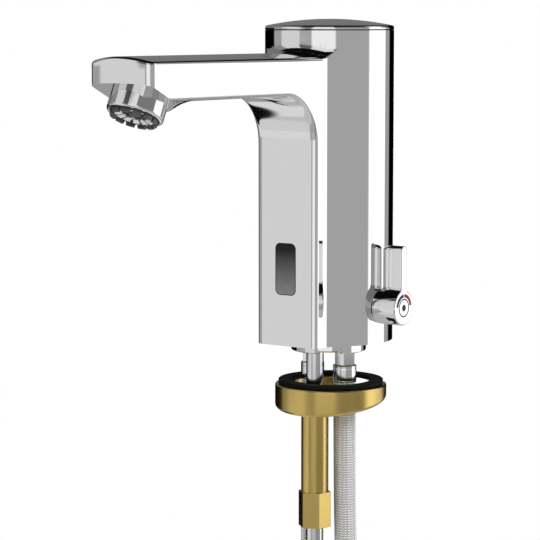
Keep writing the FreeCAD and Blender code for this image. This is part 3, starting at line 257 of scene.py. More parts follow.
def placed(local, at=(0, 0, 0), axes=UPRIGHT):
    """Points of a piece's own frame carried to its place: at + x a + y b + z c."""
    local = np.asarray(local, float)
    x, y, z = (local[..., i : i + 1] for i in range(3))
    return np.asarray(at, float) + x * axes[0] + y * axes[1] + z * axes[2]


def turned(profile, columns):
    """A profile of radius and height carried round Z: (r cos v, r sin v, z)."""
    profile = np.asarray(profile, float)
    v = np.linspace(0, 2 * np.pi, columns, endpoint=False)
    r, z = profile[:, :1], profile[:, 1:]
    return np.stack([r * np.cos(v), r * np.sin(v), z + 0 * v], -1)


def lathed(profile, columns, at=(0, 0, 0), axes=UPRIGHT, closed=True):
    """A skin turned from a closed profile, or from one that starts and ends on the axis."""
    return Skin().grid(placed(turned(profile, columns), at, axes), around=True, closed=closed)


def notched(rings, notch, at=(0, 0, 0), axes=UPRIGHT):
    """A skin of rings of radius r and height z, lifted by d at the angles v where a notch lies:
    (r cos v, r sin v, z + d notch)."""
    r, z, d = (np.array(column)[:, None] for column in zip(*rings))
    v = np.linspace(0, 2 * np.pi, len(notch), endpoint=False)
    points = np.stack([r * np.cos(v), r * np.sin(v), z + d * notch], -1)
    return Skin().grid(placed(points, at, axes), around=True, closed=True)


def raised(line, height):
    """A flat line of points at one height."""
    return np.column_stack([line, np.full(len(line), height)])


def circular(radius, angle):
    """Points of a circle: (r cos a, r sin a)."""
    return radius * np.stack([np.cos(angle), np.sin(angle)], -1)


def ring_of(outline, radius):
    """A circle with one point towards each point of an outline."""
    return circular(radius, np.arctan2(outline[:, 1], outline[:, 0]))


def level(height):
    """A flat height for a plate."""
    return lambda x, y: np.full_like(x, height)


def plate(skin, outline, low, high, edge, at=(0, 0, 0), axes=UPRIGHT, steps=5, hole=None, low_bevel=None):
    """A flat outline carried from low to high with quarter-round edges: the outline goes in by e(1 - sin t)
    while it comes up by e(1 - cos t). low and high are functions of x and y. A hole is an outline of equal
    count. low_bevel holds how far the lower edge goes in and up where that differs."""
    low_edge, low_rise = low_bevel or (edge, edge)
    outline = np.asarray(outline, float)
    ahead = np.roll(outline, -1, 0) - outline
    ahead /= np.linalg.norm(ahead, axis=1)[:, None]
    mean = ahead + np.roll(ahead, 1, 0)
    mean /= np.linalg.norm(mean, axis=1)[:, None]
    x, y = outline.T
    area = np.sum(x * np.roll(y, -1) - y * np.roll(x, -1))
    inward = np.stack([-mean[:, 1], mean[:, 0]], 1) * math.copysign(1, area)
    rows = []
    for t in np.linspace(0, np.pi / 2, steps + 1):
        xy = outline + inward * low_edge * (1 - math.sin(t))
        rows.append(np.column_stack([xy, low(*xy.T) + low_rise * (1 - math.cos(t))]))
    for t in np.linspace(np.pi / 2, 0, steps + 1):
        xy = outline + inward * edge * (1 - math.sin(t))
        rows.append(np.column_stack([xy, high(*xy.T) - edge * (1 - math.cos(t))]))
    if hole is None:
        skin.grid(placed(np.array(rows), at, axes), around=True)
        skin.flat(placed(rows[0], at, axes))
        skin.flat(placed(rows[-1], at, axes))
    else:
        inner = [np.column_stack([hole, height(*hole.T)]) for height in (high, low)]
        skin.grid(placed(np.array(rows + inner), at, axes), around=True, closed=True)
    return skin


def hexagon(across, turn=0.0, per_side=8, corner=0.25):
    """A hexagon by its width across flats, with slightly rounded corners and points along its sides."""
    angles = turn + np.arange(6) * np.pi / 3
    line = loop(circular(across / math.sqrt(3), angles), [corner] * len(angles), 2)
    share = np.linspace(0, 1, per_side, endpoint=False)[:, None]
    return np.concatenate([a + (b - a) * share for a, b in zip(line, np.roll(line, -1, 0))])


# Finishes by name: metallic, roughness from and to, and scale, detail and stretch of the noise between.
FINISHES = {
    "chrome": (1.0, 0.025, 0.05, 60, 2),
    "nickel": (1.0, 0.08, 0.16, 900, 3),
    "brass": (1.0, 0.19, 0.26, 260, 4, (1, 1, 0.12)),
    "steel": (1.0, 0.09, 0.15, 500, 3, (1, 1, 0.2)),
    "dark_steel": (1.0, 0.3, 0.42, 900, 3),
    "copper": (1.0, 0.3, 0.42, 400, 3, (0.1, 0.1, 12)),
    "braid": (0.5, 0.22, 0.36, 2600, 3),
    "liner": (0.0, 0.5, 0.7, 900, 3),
    "rubber": (0.0, 0.5, 0.68, 1400, 4),
    "window": (0.0, 0.02, 0.05, 120, 2),
    "blue": (0.0, 0.2, 0.3, 600, 2),
    "red": (0.0, 0.2, 0.3, 600, 2),
    "ceramic": (0.0, 0.15, 0.25, 700, 3),
    "battery": (0.0, 0.35, 0.45, 300, 3),
    "white_plastic": (0.0, 0.38, 0.52, 1100, 3),
    "grey_plastic": (0.0, 0.24, 0.36, 700, 3),
    "black_plastic": (0.0, 0.38, 0.52, 1100, 3),
}
# Shader settings that differ from Blender's own.
SHEEN = {
    "rubber": {"Specular IOR Level": 0.08},
    "window": {"IOR": 1.3},
    "blue": {"Specular IOR Level": 0.15},
    "red": {"Specular IOR Level": 0.15},
}
# Strength of the grain, and its depth in metres.
GRAIN = {
    "rubber": (0.2, 0.00005),
    "white_plastic": (0.1, 0.00003),
    "black_plastic": (0.1, 0.00003),
}
# Darkest and lightest tone of the brass, as factors, and the painted shade between two rows of wire, as a
# factor.
BRASS_TONES = (0.94, 1.05)
BRAID_PAINTED_SHADE = 0.55
# Heights in metres between which the window is painted paler downwards, a painted reflection of the floor;
# the share where that starts, and its palest tone.
WINDOW_REFLECTION_HEIGHTS = (0.046, 0.0215)
WINDOW_REFLECTION_START = 0.16
WINDOW_REFLECTION_TONE = (0.19, 0.19, 0.19)


class Finish:
    """A node material under construction."""

    def __init__(self, name, base, metallic, roughness):
        self.material = bpy.data.materials.new(name)
        self.material.use_nodes = True
        self.nodes = self.material.node_tree.nodes
        self.links = self.material.node_tree.links
        self.shader = self.nodes["Principled BSDF"]
        self.fill(self.shader, {"Base Color": (*base, 1), "Metallic": metallic, "Roughness": roughness})
        self.material.diffuse_color = (*base, 1)

    def fill(self, node, sockets):
        """Gives sockets a value, or a link where the value is another node's output."""
        for socket, value in sockets.items():
            if isinstance(value, bpy.types.NodeSocket):
                self.links.new(value, node.inputs[socket])
            else:
                node.inputs[socket].default_value = value

    def node(self, kind, sockets=None, **settings):
        """A new node with its settings and sockets."""
        made = self.nodes.new("ShaderNode" + kind)
        for name, value in settings.items():
            setattr(made, name, value)
        self.fill(made, sockets or {})
        return made

    def place(self):
        """The piece's own coordinates."""
        return self.node("TexCoord").outputs["Object"]

    def calculate(self, operation, first, second):
        """Two values made one."""
        return self.node("Math", {0: first, 1: second}, operation=operation).outputs[0]

    def show(self, shader):
        """Makes a shader the one that is seen."""
        self.fill(self.nodes["Material Output"], {"Surface": shader})

    def noise(self, scale, detail, stretch=(1, 1, 1)):
        """Noise over the piece's own coordinates, stretched along an axis where a tool left lines."""
        shift = self.node("Mapping", {"Vector": self.place(), "Scale": stretch}).outputs["Vector"]
        return self.node("TexNoise", {"Vector": shift, "Scale": scale, "Detail": detail}).outputs["Fac"]

    def rough(self, field, low, high):
        """Lets the roughness follow a field between two values."""
        span = self.node("MapRange", {"Value": field, "To Min": low, "To Max": high})
        self.fill(self.shader, {"Roughness": span.outputs["Result"]})

    def height(self, start, stop):
        """Goes from 0 to 1 as the height passes from start to stop, in metres."""
        rise = self.node("SeparateXYZ", {"Vector": self.place()}).outputs["Z"]
        span = self.node("MapRange", {"Value": rise, "From Min": start, "From Max": stop})
        return span.outputs["Result"]

    def rows(self, pitch):
        """Level rows at a pitch in millimetres: a wave of scale 1 comes back every pi / 10."""
        scale = math.pi / (10 * pitch * MM)
        wave = self.node("TexWave", {"Vector": self.place(), "Scale": scale}, bands_direction="Z")
        return wave.outputs["Fac"]

    def shade(self, field, dark, light, start=0.3, stop=0.7):
        """Colour between two tones along a field."""
        ramp = self.node("ValToRGB", {"Fac": field})
        for element, tint, position in zip(ramp.color_ramp.elements, (dark, light), (start, stop)):
            element.color = (*tint, 1)
            element.position = position
        self.fill(self.shader, {"Base Color": ramp.outputs["Color"]})

    def bump(self, field, strength, distance):
        """Fine grain along a field."""
        lift = self.node("Bump", {"Height": field, "Strength": strength, "Distance": distance})
        self.fill(self.shader, {"Normal": lift.outputs["Normal"]})


def tone(rgb, factor):
    """A colour made darker or lighter."""
    return tuple(min(1.0, channel * factor) for channel in rgb)


def finish(name):
    """A finish by name, made once, whose roughness follows its noise. Its material is called name_finish,
    apart from the frame's own materials."""
    label = name + "_finish"
    if label in bpy.data.materials:
        return bpy.data.materials[label]
    base = getattr(bpy.context.scene.mixer_colours, name)[:3]
    metallic, low, high, *noise = FINISHES[name]
    made = Finish(label, base, metallic, (low + high) / 2)
    made.fill(made.shader, SHEEN.get(name, {}))
    field = made.noise(*noise)
    made.rough(field, low, high)
    if name in GRAIN:
        made.bump(field, *GRAIN[name])
    if name == "brass":
        made.shade(field, *(tone(base, factor) for factor in BRASS_TONES))
    elif name == "braid":
        # Painted shade: the braid's colour darkens in level rows between its crossing strands.
        made.shade(made.rows(LAY_LENGTH / STRANDS), tone(base, BRAID_PAINTED_SHADE), base)
    # Painted reflection: the window's colour pales towards its bottom, where it would mirror the floor.
    elif name == "window":
        made.shade(made.height(*WINDOW_REFLECTION_HEIGHTS), base, WINDOW_REFLECTION_TONE, WINDOW_REFLECTION_START, 1.0)
    return made.material


# Angle at which a shoulder arc passes into a corner arc, seen from above.
CORNER_TURN = math.radians(22)
# Points on half the nose, on a shoulder and on a corner.
NOSE_COUNTS = (16, 8, 13)
# Rows of the casting between the groove under the cap and the hollow, and the angles of the hollow's rows.
WALL_SHARES = np.linspace(0, 1, 4)[:-1, None]
HOLLOW_TURNS = np.linspace(0, np.pi / 2, 12)[:, None]
# Rows of the cloth on each face, columns of a root and of the column.
TOP_ROWS = 12
EDGE_ROWS = 5
FACE_ROWS = 2
PAD_ROWS = 7
UNDERSIDE_ROWS = 35
ARCH_ROWS = 21
SLAB_ROWS = 5
ROOT_COLUMNS = 16
WALL_COLUMNS = 181
# How the underside's rows crowd towards the pad, and how fast the pad's step fades out.
UNDERSIDE_CROWDING = 1.6
PAD_FADE = 2.2
# Opening of the casting's foot, and the depth of the groove under the cap.
FOOT_RADIUS = 24.2
FOOT_DEPTH = 8.0
GROOVE_DEPTH = 0.3


def nose_line(s):
    """Plan of the spout's end from left to right: an arc of the nose radius, a shoulder arc and a corner arc
    at each side, each tangent to the next. An arc of radius r from angle a to b goes r (sin b - sin a) aside
    and r (cos a - cos b) back. Gives x, y and the outward normal of each point."""
    half, radius, shoulder, corner = s["slab_half"], s["nose"], s["shoulder"], s["nose_corner"]
    bent = math.sin(CORNER_TURN)
    turn = math.asin((half - corner * (1 - bent) - shoulder * bent) / (radius - shoulder))
    x, y, angle = [np.zeros(1)], [np.full(1, -s["reach"])], [np.zeros(1)]
    bends = (radius, 0, turn), (shoulder, turn, CORNER_TURN), (corner, CORNER_TURN, np.pi / 2)
    for (r, a, b), count in zip(bends, NOSE_COUNTS):
        t = np.linspace(a, b, count)[1:]
        x.append(x[-1][-1] + r * (np.sin(t) - math.sin(a)))
        y.append(y[-1][-1] + r * (math.cos(a) - np.cos(t)))
        angle.append(t)
    x, y, angle = np.concatenate(x), np.concatenate(y), np.concatenate(angle)
    mirror = slice(None, 0, -1)
    x = np.concatenate([-x[mirror], x])
    y = np.concatenate([y[mirror], y])
    angle = np.concatenate([-angle[mirror], angle])
    return x, y, np.sin(angle), -np.cos(angle)


def setback(x, half, corner, shoulder=0.0, turn=0.0):
    """How far a flat face with a shoulder arc and a corner arc at each side lies back at x: each arc of
    radius r with its centre at c gives r - sqrt(r^2 - (x - c)^2)."""
    x = np.minimum(np.abs(x), half)
    knee = half - corner * (1 - math.sin(turn))
    near = np.clip(x - (knee - shoulder * math.sin(turn)), 0, shoulder * math.sin(turn))
    back = shoulder - np.sqrt(shoulder**2 - near**2)
    far = np.clip(x - (half - corner), corner * math.sin(turn), corner)
    return back + corner * math.cos(turn) - np.sqrt(corner**2 - far**2)


def rows_of(x, y, z):
    """Rows of points from coordinates that rows or columns may share."""
    return np.stack(np.broadcast_arrays(x, y, z), -1)


def rising(count, power=1.0):
    """Shares up to 1, one for each row, without the 0 that the row before stands for."""
    return np.linspace(0, 1, count + 1)[1:, None] ** power


class Casting:
    """Column, slab, arch and spout: one cloth of rows across the width, from the column over the spout's
    top, round its end, along the slanted pad, the underside and the arch, down the slab; then its flat
    sides, hollow roots, column and foot."""

    def __init__(self, s):
        """Works out the plan, the edge of the spout's crowned top, and the roots' and the hollow's sizes."""
        self.s = s
        self.radius, self.half, self.rim, self.root = (
            s[key] for key in ("column_radius", "slab_half", "rim", "root")
        )
        self.wall_top = s["column_top"] - s["seam"]
        self.plan = x, y, nx, ny = nose_line(s)
        arc = (self.half**2 + s["crown"] ** 2) / (2 * s["crown"])
        self.lean = np.arctan(np.abs(x) / np.sqrt(arc**2 - x**2) * np.abs(nx))
        inset = self.rim * (1 - np.sin(self.lean))
        self.x, self.y = x - nx * inset, y - ny * inset
        self.z = s["edge_height"] + np.sqrt(arc**2 - self.x**2) - (arc - s["crown"])
        self.root_turn = math.asin((self.half + self.root) / (self.radius + self.root))
        self.root_y = math.sqrt((self.radius + self.root) ** 2 - (self.half + self.root) ** 2)
        self.hollow = math.hypot(self.x[-1], self.root_y) - self.radius

    def pad(self, y):
        """Height of the slanted pad at a place along the spout."""
        return self.s["tip_low"] - (y + self.s["reach"]) * math.tan(self.s["aerator_tilt"])

    def strip(self, z):
        """Heights of the column's rows from the groove down to the hollow that ends at height z."""
        return self.wall_top + (z + self.hollow - self.wall_top) * WALL_SHARES

    def top(self):
        """The column's front, then the hollow, a quarter arc at each x, then the top of the spout."""
        x, z = self.x, self.z
        wall = rows_of(x, -np.sqrt(self.radius**2 - x**2), self.strip(z))
        r = self.radius + self.hollow * (1 - np.cos(HOLLOW_TURNS))
        bend = rows_of(x, -np.sqrt(r**2 - x**2), z + self.hollow * (1 - np.sin(HOLLOW_TURNS)))
        start = bend[-1, :, 1]
        flat = rows_of(x, start + (self.y - start) * rising(TOP_ROWS), z)
        return np.concatenate([wall, bend]), flat

    def side_edge(self, start):
        """Rounding of the spout's straight upper edge, from its root to the nose."""
        turn = np.linspace(self.lean[-1], np.pi / 2, EDGE_ROWS + 1)
        out = self.half - self.rim * (1 - np.sin(turn))
        drop = self.rim * (math.cos(self.lean[-1]) - np.cos(turn))
        along = start + (self.y[-1] - start) * np.linspace(0, 1, TOP_ROWS + 1)[:, None]
        return rows_of(out, along, self.z[-1] - drop)

    def nose(self):
        """Rounded upper edge of the spout's end, then its upright face down to the pad."""
        x, y, nx, ny = self.plan
        turn = self.lean + (np.pi / 2 - self.lean) * rising(EDGE_ROWS)
        inset = self.rim * (1 - np.sin(turn))
        low = self.z - self.rim * np.cos(self.lean)
        edge = rows_of(x - nx * inset, y - ny * inset, low + self.rim * np.cos(turn))
        return edge, rows_of(x, y, low + (self.pad(y) - low) * rising(FACE_ROWS))

    def below(self):
        """Pad, underside, arch and slab. The pad ends on its circle or where it meets the underside, and its
        step fades as a power of the way. The arch's radius goes from the underside's to the slab's."""
        s = self.s
        x, y = self.plan[:2]
        lift = setback(x, self.half, s["edge"])
        back = setback(x, self.half, s["front_corner"], s["shoulder"], CORNER_TURN)
        flat_end = -s["reach"] + (s["tip_low"] - s["underside"] - lift) / math.tan(s["aerator_tilt"])
        circle = math.cos(s["aerator_tilt"]) * np.sqrt(np.clip(s["boss"] ** 2 - x**2, 0, None))
        round_end = s["aerator_setback"] - s["reach"] + circle
        end = np.where(np.abs(x) < s["boss"], np.maximum(flat_end, round_end), flat_end)
        at = y + (end - y) * rising(PAD_ROWS)
        pad = rows_of(x, at, self.pad(at))
        depth = np.maximum(s["underside"] + lift - self.pad(end), 0)
        arch_y, arch_z = -s["slab_front"] - s["arch"], s["underside"] - s["arch"]
        at = end + (arch_y - end) * rising(UNDERSIDE_ROWS, UNDERSIDE_CROWDING)
        near = np.clip(1 - (at - end) / s["boss_run"], 0, 1)
        underside = rows_of(x, at, s["underside"] + lift - depth * near**PAD_FADE)
        turn = np.pi / 2 * rising(ARCH_ROWS)
        reach = s["arch"] + lift + (back - lift) * rising(ARCH_ROWS)
        arch = rows_of(x, arch_y + reach * np.sin(turn), arch_z + reach * np.cos(turn))
        slab = rows_of(x, back - s["slab_front"], arch_z * (1 - rising(SLAB_ROWS)))
        return np.concatenate([pad, underside, arch, slab])

    def corner(self):
        """The hollow root at a side, from the groove under the cap to the foot: the hollow's rows are
        carried round to the column, where it dies out, and its outer edge is rounded as the spout's is."""
        turn = np.linspace(np.pi / 2, self.root_turn, ROOT_COLUMNS)
        aside, back = -np.sin(turn), np.cos(turn)
        wall_x, wall_y = self.half + self.root + self.root * aside, self.root * back - self.root_y
        wall = np.hypot(wall_x, wall_y)
        steep = np.arccos(np.clip((wall - self.radius) / self.hollow, 0, 1))
        steep = np.maximum(steep, self.lean[-1])
        inset = self.rim * (1 - np.sin(steep))
        edge_x, edge_y = wall_x + aside * inset, wall_y + back * inset
        edge_turn = np.arctan2(edge_x, -edge_y)
        rows = np.concatenate([0 * WALL_SHARES, HOLLOW_TURNS])
        r = self.radius + (np.hypot(edge_x, edge_y) - self.radius) * (1 - np.cos(rows))
        fade = np.linspace(1, 0, len(turn))
        along = edge_turn + fade * (np.arcsin(self.x[-1] / r[:, :1]) - edge_turn[0])
        share = np.clip(1 - (r - self.radius) / self.hollow, 0, 1)
        z = self.z[-1] + self.hollow * (1 - np.sqrt(1 - share**2))
        z[: len(WALL_SHARES)] = self.strip(self.z[-1])
        ledge = rows_of(r * np.sin(along), -r * np.cos(along), z)
        bend = steep + (np.pi / 2 - steep) * rising(EDGE_ROWS)
        inset = self.rim * (1 - np.sin(bend))
        low = z[-1] - self.rim * np.cos(steep)
        edge = rows_of(wall_x + aside * inset, wall_y + back * inset, low + self.rim * np.cos(bend))
        return np.concatenate([ledge, edge, rows_of(wall_x, wall_y, np.zeros((1, 1)))])

    def skin(self):
        """All faces: cloth, both sides, column, foot and the groove under the cap."""
        (front, flat), (edge, face), below, corner = self.top(), self.nose(), self.below(), self.corner()
        cloth = np.concatenate([front, flat, edge, face, below])
        strip = self.side_edge(front[-1, -1, 1])
        side = np.concatenate([strip[:, -1], face[:, -1], below[:, -1], corner[-1, :1]])
        skin = Skin().grid(cloth)
        for flip in ((1, 1, 1), (-1, 1, 1)):
            skin.grid(corner * flip)
            skin.grid(strip * flip)
            skin.flat(side * flip)
        v = np.linspace(self.root_turn, 2 * np.pi - self.root_turn, WALL_COLUMNS)
        wall = circular(self.radius, v - np.pi / 2)
        levels = np.append(corner[: len(WALL_SHARES) + 1, -1, 2], 0.0)
        skin.grid(np.array([raised(wall, z) for z in levels]))

        def around(across, side):
            """Outline of one height: a row of the cloth, the right root, the column and the left root."""
            parts = [across[:, :2], side[:, :2], wall[1:-1], side[::-1, :2] * (-1, 1)]
            return np.concatenate(parts)

        foot, brim = around(cloth[-1], corner[-1]), around(cloth[0], corner[0, 1:])
        opening, groove = ring_of(foot, FOOT_RADIUS), ring_of(brim, self.radius - GROOVE_DEPTH)
        seam, top = self.s["seam"], self.s["column_top"]
        for steps in (
            ((foot, 0.0), (opening, 0.0), (opening, FOOT_DEPTH)),
            ((brim, self.wall_top), (groove, self.wall_top + seam / 2), (groove, top)),
        ):
            lines = [raised(line, z) for line, z in steps]
            skin.grid(np.array(lines), around=True).flat(lines[-1])
        return skin


class MIXER_OT_stage(bpy.types.Operator):
    """Pale floor, striped light tent, lamps and the camera"""

    bl_idname = "mixer.stage"
    bl_label = "Studio"

    def execute(self, context):
        build_floor()
        tent, cards = build_tent(), build_cards()
        cards.visible_diffuse = False
        for piece in (tent, cards):
            piece.visible_camera = False
            piece.visible_shadow = False
        build_lamps(context.scene)
        build_camera(context.scene)
        return {"FINISHED"}


FLOOR = -346.0
FLOOR_RADIUS = 850.0
FLOOR_TONE = (0.9, 0.9, 0.9)
# Share of the white surround in the floor under the object.
FLOOR_GLOW = 0.45
TENT_RADIUS = 1500.0
TENT_TOP = 1500.0
TENT_TONE = (0.5, 0.5, 0.5)
CARD_LIFT = 1.0
ROUND = 128
DARK = (0.004, 0.004, 0.004, 1)


def wall_bands(pale, grey):
    """Azimuths in degrees, from -Y towards +X, at which the tent changes, and its brightness from there on.
    The pale and the grey stripe start where a height's mirror image needs them."""
    left = ((-180, 0.0), (-81, 0.39), (pale, 0.75), (grey, 0.44), (3, 1.0))
    return left + ((45, 0.425), (109, 1.4), (152, 0.38), (168, 0.0))


UPPER_BANDS = ((-180, 0.0), (-154, 0.19), (-85, 0.28), (-60, 0.74), (-20, 0.14), (5, 0.85))
UPPER_BANDS += ((42, 0.22), (110, 1.2), (142, 0.34), (163, 0.0))
OUTER_BANDS = ((-180, 0.0), (-85, 0.4), (-65, 0.8), (-20, 0.42), (3, 0.56), (45, 0.31))
OUTER_BANDS += ((112, 1.38), (138, 1.0), (165, 0.4), (174, 0.0))
NEAR_BANDS = ((-180, 0.0), (-170, 0.8), (-60, 0.6), (165, 0.35), (176, 0.0))
MIDDLE_BANDS = ((-180, 0.36), (-95, 0.72), (-20, 0.42))
# Heights from which the wall's bands hold: those that the slab mirrors, the nose, the column and the top.
WALL_LEVELS = (
    (wall_bands(-43, -9), -235.0),
    (wall_bands(-51, -9), 2.0),
    (wall_bands(-60, -20), 117.0),
    (UPPER_BANDS, 150.0),
)
WALL_END = 1330.0
NEAR_RADIUS = 460.0
MIDDLE_RADIUS = 900.0
# Half widths of the soft steps: between stripes in degrees, round the oval in thousandths of its half
# widths, the others in millimetres.
BAND_SOFT = 1.2
WALL_SOFT = 3.0
END_SOFT = 120.0
NEAR_SOFT = 40.0
MIDDLE_SOFT = 20.0
OVAL_SOFT = 20.0
# Middle and half widths of a dark oval on the floor, for the arch to mirror.
OVAL_AT = (-568.0, -75.0)
OVAL_HALF = (243.0, 320.0)


def disc(radius, height):
    """A flat round face."""
    return raised(circular(radius, np.linspace(0, 2 * np.pi, ROUND, endpoint=False)), height)


def stage_piece(name, skin, material):
    """A mesh of the studio."""
    mesh = skin.mesh(name)
    made = bpy.data.objects.new(name, mesh)
    bpy.context.scene.collection.objects.link(made)
    mesh.materials.append(material)
    return made


def build_floor():
    """A pale disc under the hose ends that fades into the white surround towards its edge."""
    made = Finish("pale_floor", FLOOR_TONE, 0.0, 0.8)
    made.rough(made.noise(3, 2), 0.75, 0.85)
    away = made.node("VectorMath", {0: made.place()}, operation="LENGTH").outputs["Value"]
    ends = {"From Min": abs(FLOOR) * MM, "From Max": FLOOR_RADIUS * MM, "To Min": FLOOR_GLOW}
    fade = made.node("MapRange", {"Value": away, **ends}).outputs["Result"]
    rays = made.node("LightPath").outputs
    seen = made.calculate("MAXIMUM", rays["Is Camera Ray"], rays["Is Glossy Ray"])
    seen = made.calculate("MAXIMUM", seen, rays["Is Transmission Ray"])
    share = made.calculate("MULTIPLY", seen, fade)
    glow = made.node("Emission").outputs["Emission"]
    blend = made.node("MixShader", {"Fac": share, 1: made.shader.outputs["BSDF"], 2: glow})
    made.show(blend.outputs["Shader"])
    stage_piece("floor", Skin().flat(disc(FLOOR_RADIUS, FLOOR)), made.material)


def banded(made, azimuth, bands):
    """Brightness by azimuth, with soft steps."""
    ramp = made.node("ValToRGB", {"Fac": azimuth})
    stops = ramp.color_ramp.elements
    previous = bands[0][1]
    stops[0].position = 0.0
    stops[0].color = (previous, previous, previous, 1)
    stops.remove(stops[1])
    for start, bright in bands[1:]:
        for offset, value in ((-BAND_SOFT, previous), (BAND_SOFT, bright)):
            stop = stops.new((start + offset + 180) / 360)
            stop.color = (value, value, value, 1)
        previous = bright
    return ramp.outputs["Color"]


def stepped(made, value, below, above, at, soft):
    """Goes from one brightness to another as a value passes a place in millimetres, over a soft width."""
    ends = {"From Min": (at - soft) * MM, "From Max": (at + soft) * MM}
    span = made.node("MapRange", {"Value": value, **ends}, interpolation_type="SMOOTHSTEP")
    sockets = {"Factor": span.outputs["Result"], 6: below, 7: above}
    return made.node("Mix", sockets, data_type="RGBA").outputs[2]


def striped(name):
    """A glowing material under construction, with its azimuth as a share of a turn and its coordinates."""
    made = Finish(name, TENT_TONE, 0.0, 0.9)
    split = made.node("SeparateXYZ", {"Vector": made.place()}).outputs
    azimuth = made.calculate("ARCTAN2", split["X"], made.calculate("MULTIPLY", split["Y"], -1.0))
    span = made.node("MapRange", {"Value": azimuth, "From Min": -math.pi, "From Max": math.pi})
    return made, span.outputs["Result"], split


def glowing(made, light):
    """Lets a material glow with a colour."""
    made.show(made.node("Emission", {"Color": light}).outputs["Emission"])
    return made.material


def build_tent():
    """A round wall with upright light and dark stripes, dimmer cloth above them, and a black lid, for the
    plating to mirror."""
    made, azimuth, split = striped("tent_wall")
    light = banded(made, azimuth, OUTER_BANDS)
    for bands, start in WALL_LEVELS:
        light = stepped(made, split["Z"], light, banded(made, azimuth, bands), start, WALL_SOFT)
    light = stepped(made, split["Z"], light, DARK, WALL_END, END_SOFT)
    rings = [disc(TENT_RADIUS, z) for z in (FLOOR, TENT_TOP)]
    wall = Skin().grid(np.array(rings), around=True).flat(rings[1])
    return stage_piece("tent", wall, glowing(made, light))


def build_cards():
    """Striped cards on the floor in three rings, with a dark oval, for the plating to mirror."""
    made, azimuth, split = striped("tent_floor")
    flat = made.node("CombineXYZ", {axis: split[axis] for axis in "XY"}).outputs["Vector"]
    shift = [-at / half for at, half in zip(OVAL_AT, OVAL_HALF)] + [0]
    scale = [1 / (half * MM) for half in OVAL_HALF] + [0]
    oval = made.node("Mapping", {"Vector": flat, "Location": shift, "Scale": scale}).outputs["Vector"]
    away, from_oval = (
        made.node("VectorMath", {0: place}, operation="LENGTH").outputs["Value"] for place in (flat, oval)
    )
    light = banded(made, azimuth, NEAR_BANDS)
    for bands, start, soft in (
        (MIDDLE_BANDS, NEAR_RADIUS, NEAR_SOFT),
        (OUTER_BANDS, MIDDLE_RADIUS, MIDDLE_SOFT),
    ):
        light = stepped(made, away, light, banded(made, azimuth, bands), start, soft)
    light = stepped(made, from_oval, DARK, light, 1 / MM, OVAL_SOFT)
    cards = Skin().flat(disc(TENT_RADIUS, FLOOR + CARD_LIFT))
    return stage_piece("floor_cards", cards, glowing(made, light))


# Lamps by name: place in metres and watts.
LAMPS = {
    "lamp_left": ((-0.9, -1.0, 1.1), 8.0),
    "lamp_right": ((1.1, -0.4, 1.0), 24.0),
    "lamp_back": ((0.2, 1.2, 1.1), 10.0),
}
LAMP_SIZE = 0.9


def build_lamps(scene):
    """A white surround, and soft lamps that light the matt pieces and stay out of the mirrored stripes."""
    scene.world = bpy.data.worlds.new("surround")
    scene.world.use_nodes = True
    backdrop = scene.world.node_tree.nodes["Background"]
    backdrop.inputs["Color"].default_value = (1, 1, 1, 1)
    backdrop.inputs["Strength"].default_value = 1.0
    for name, (place, watts) in LAMPS.items():
        light = bpy.data.lights.new(name, "AREA")
        light.energy = watts
        light.size = LAMP_SIZE
        lamp = bpy.data.objects.new(name, light)
        lamp.location = place
        lamp.rotation_euler = (-Vector(place)).to_track_quat("-Z", "Y").to_euler()
        lamp.visible_glossy = False
        scene.collection.objects.link(lamp)


CAMERA_AZIMUTH = 35.84
CAMERA_DISTANCE = 982.0
CAMERA_LEFT = 26.3
CAMERA_HEIGHT = 141.6
CAMERA_PITCH = 6.46
LENS = 147.4
SENSOR_WIDTH = 36.0
FARTHEST = 50.0


def build_camera(scene):
    """A long lens at the photographed angle, a little left of the axis and looking slightly down."""
    turn, pitch = math.radians(CAMERA_AZIMUTH), math.radians(CAMERA_PITCH)
    out = Vector((math.sin(turn), -math.cos(turn), 0))
    right = Vector((math.cos(turn), math.sin(turn), 0))
    data = bpy.data.cameras.new("camera")
    data.lens = LENS
    data.sensor_width = SENSOR_WIDTH
    data.clip_end = FARTHEST
    camera = bpy.data.objects.new("camera", data)
    camera.location = (out * CAMERA_DISTANCE - right * CAMERA_LEFT + Vector((0, 0, CAMERA_HEIGHT))) * MM
    aim = -out * math.cos(pitch) - Vector((0, 0, math.sin(pitch)))
    camera.rotation_euler = aim.to_track_quat("-Z", "Y").to_euler()
    scene.collection.objects.link(camera)
    scene.camera = camera
    scene.view_settings.view_transform = "Standard"


class MIXER_OT_casting(bpy.types.Operator):
    """Column, slab, arch and spout in one plated casting"""

    bl_idname = "mixer.casting"
    bl_label = "Casting"

    def execute(self, context):
        Casting(sizes()).skin().build("casting", "chrome", "body", "chrome", ["body_shell"])
        return {"FINISHED"}


# The cap's rise, the height of its upright rim, the rounding above and below it, and the ring in its joint.
CAP_RISE = 3.0
CAP_RIM = 1.6
CAP_EDGE = 1.1
CAP_FOOT = 0.25
CAP_COLUMNS = 240
JOINT_INSET = 0.1
JOINT_WIDTH = 0.6


class MIXER_OT_cap(bpy.types.Operator):
    """Domed lid on the column"""

    bl_idname = "mixer.cap"
    bl_label = "Cap"

    def execute(self, context):
        s = sizes()
        radius, base = s["column_radius"], s["column_top"]
        lathed(cap_profile(radius, base), CAP_COLUMNS, closed=False).build(
            "cap", "chrome", "body", "chrome", ["top_cap"]
        )
        low, out = base - s["seam"] / 2, radius - JOINT_INSET
        into = out - JOINT_WIDTH
        ring = lathed([(into, low), (out, low), (out, base), (into, base)], CAP_COLUMNS)
        ring.build("cap_joint", "rubber", "body", "black_rubber")
        return {"FINISHED"}


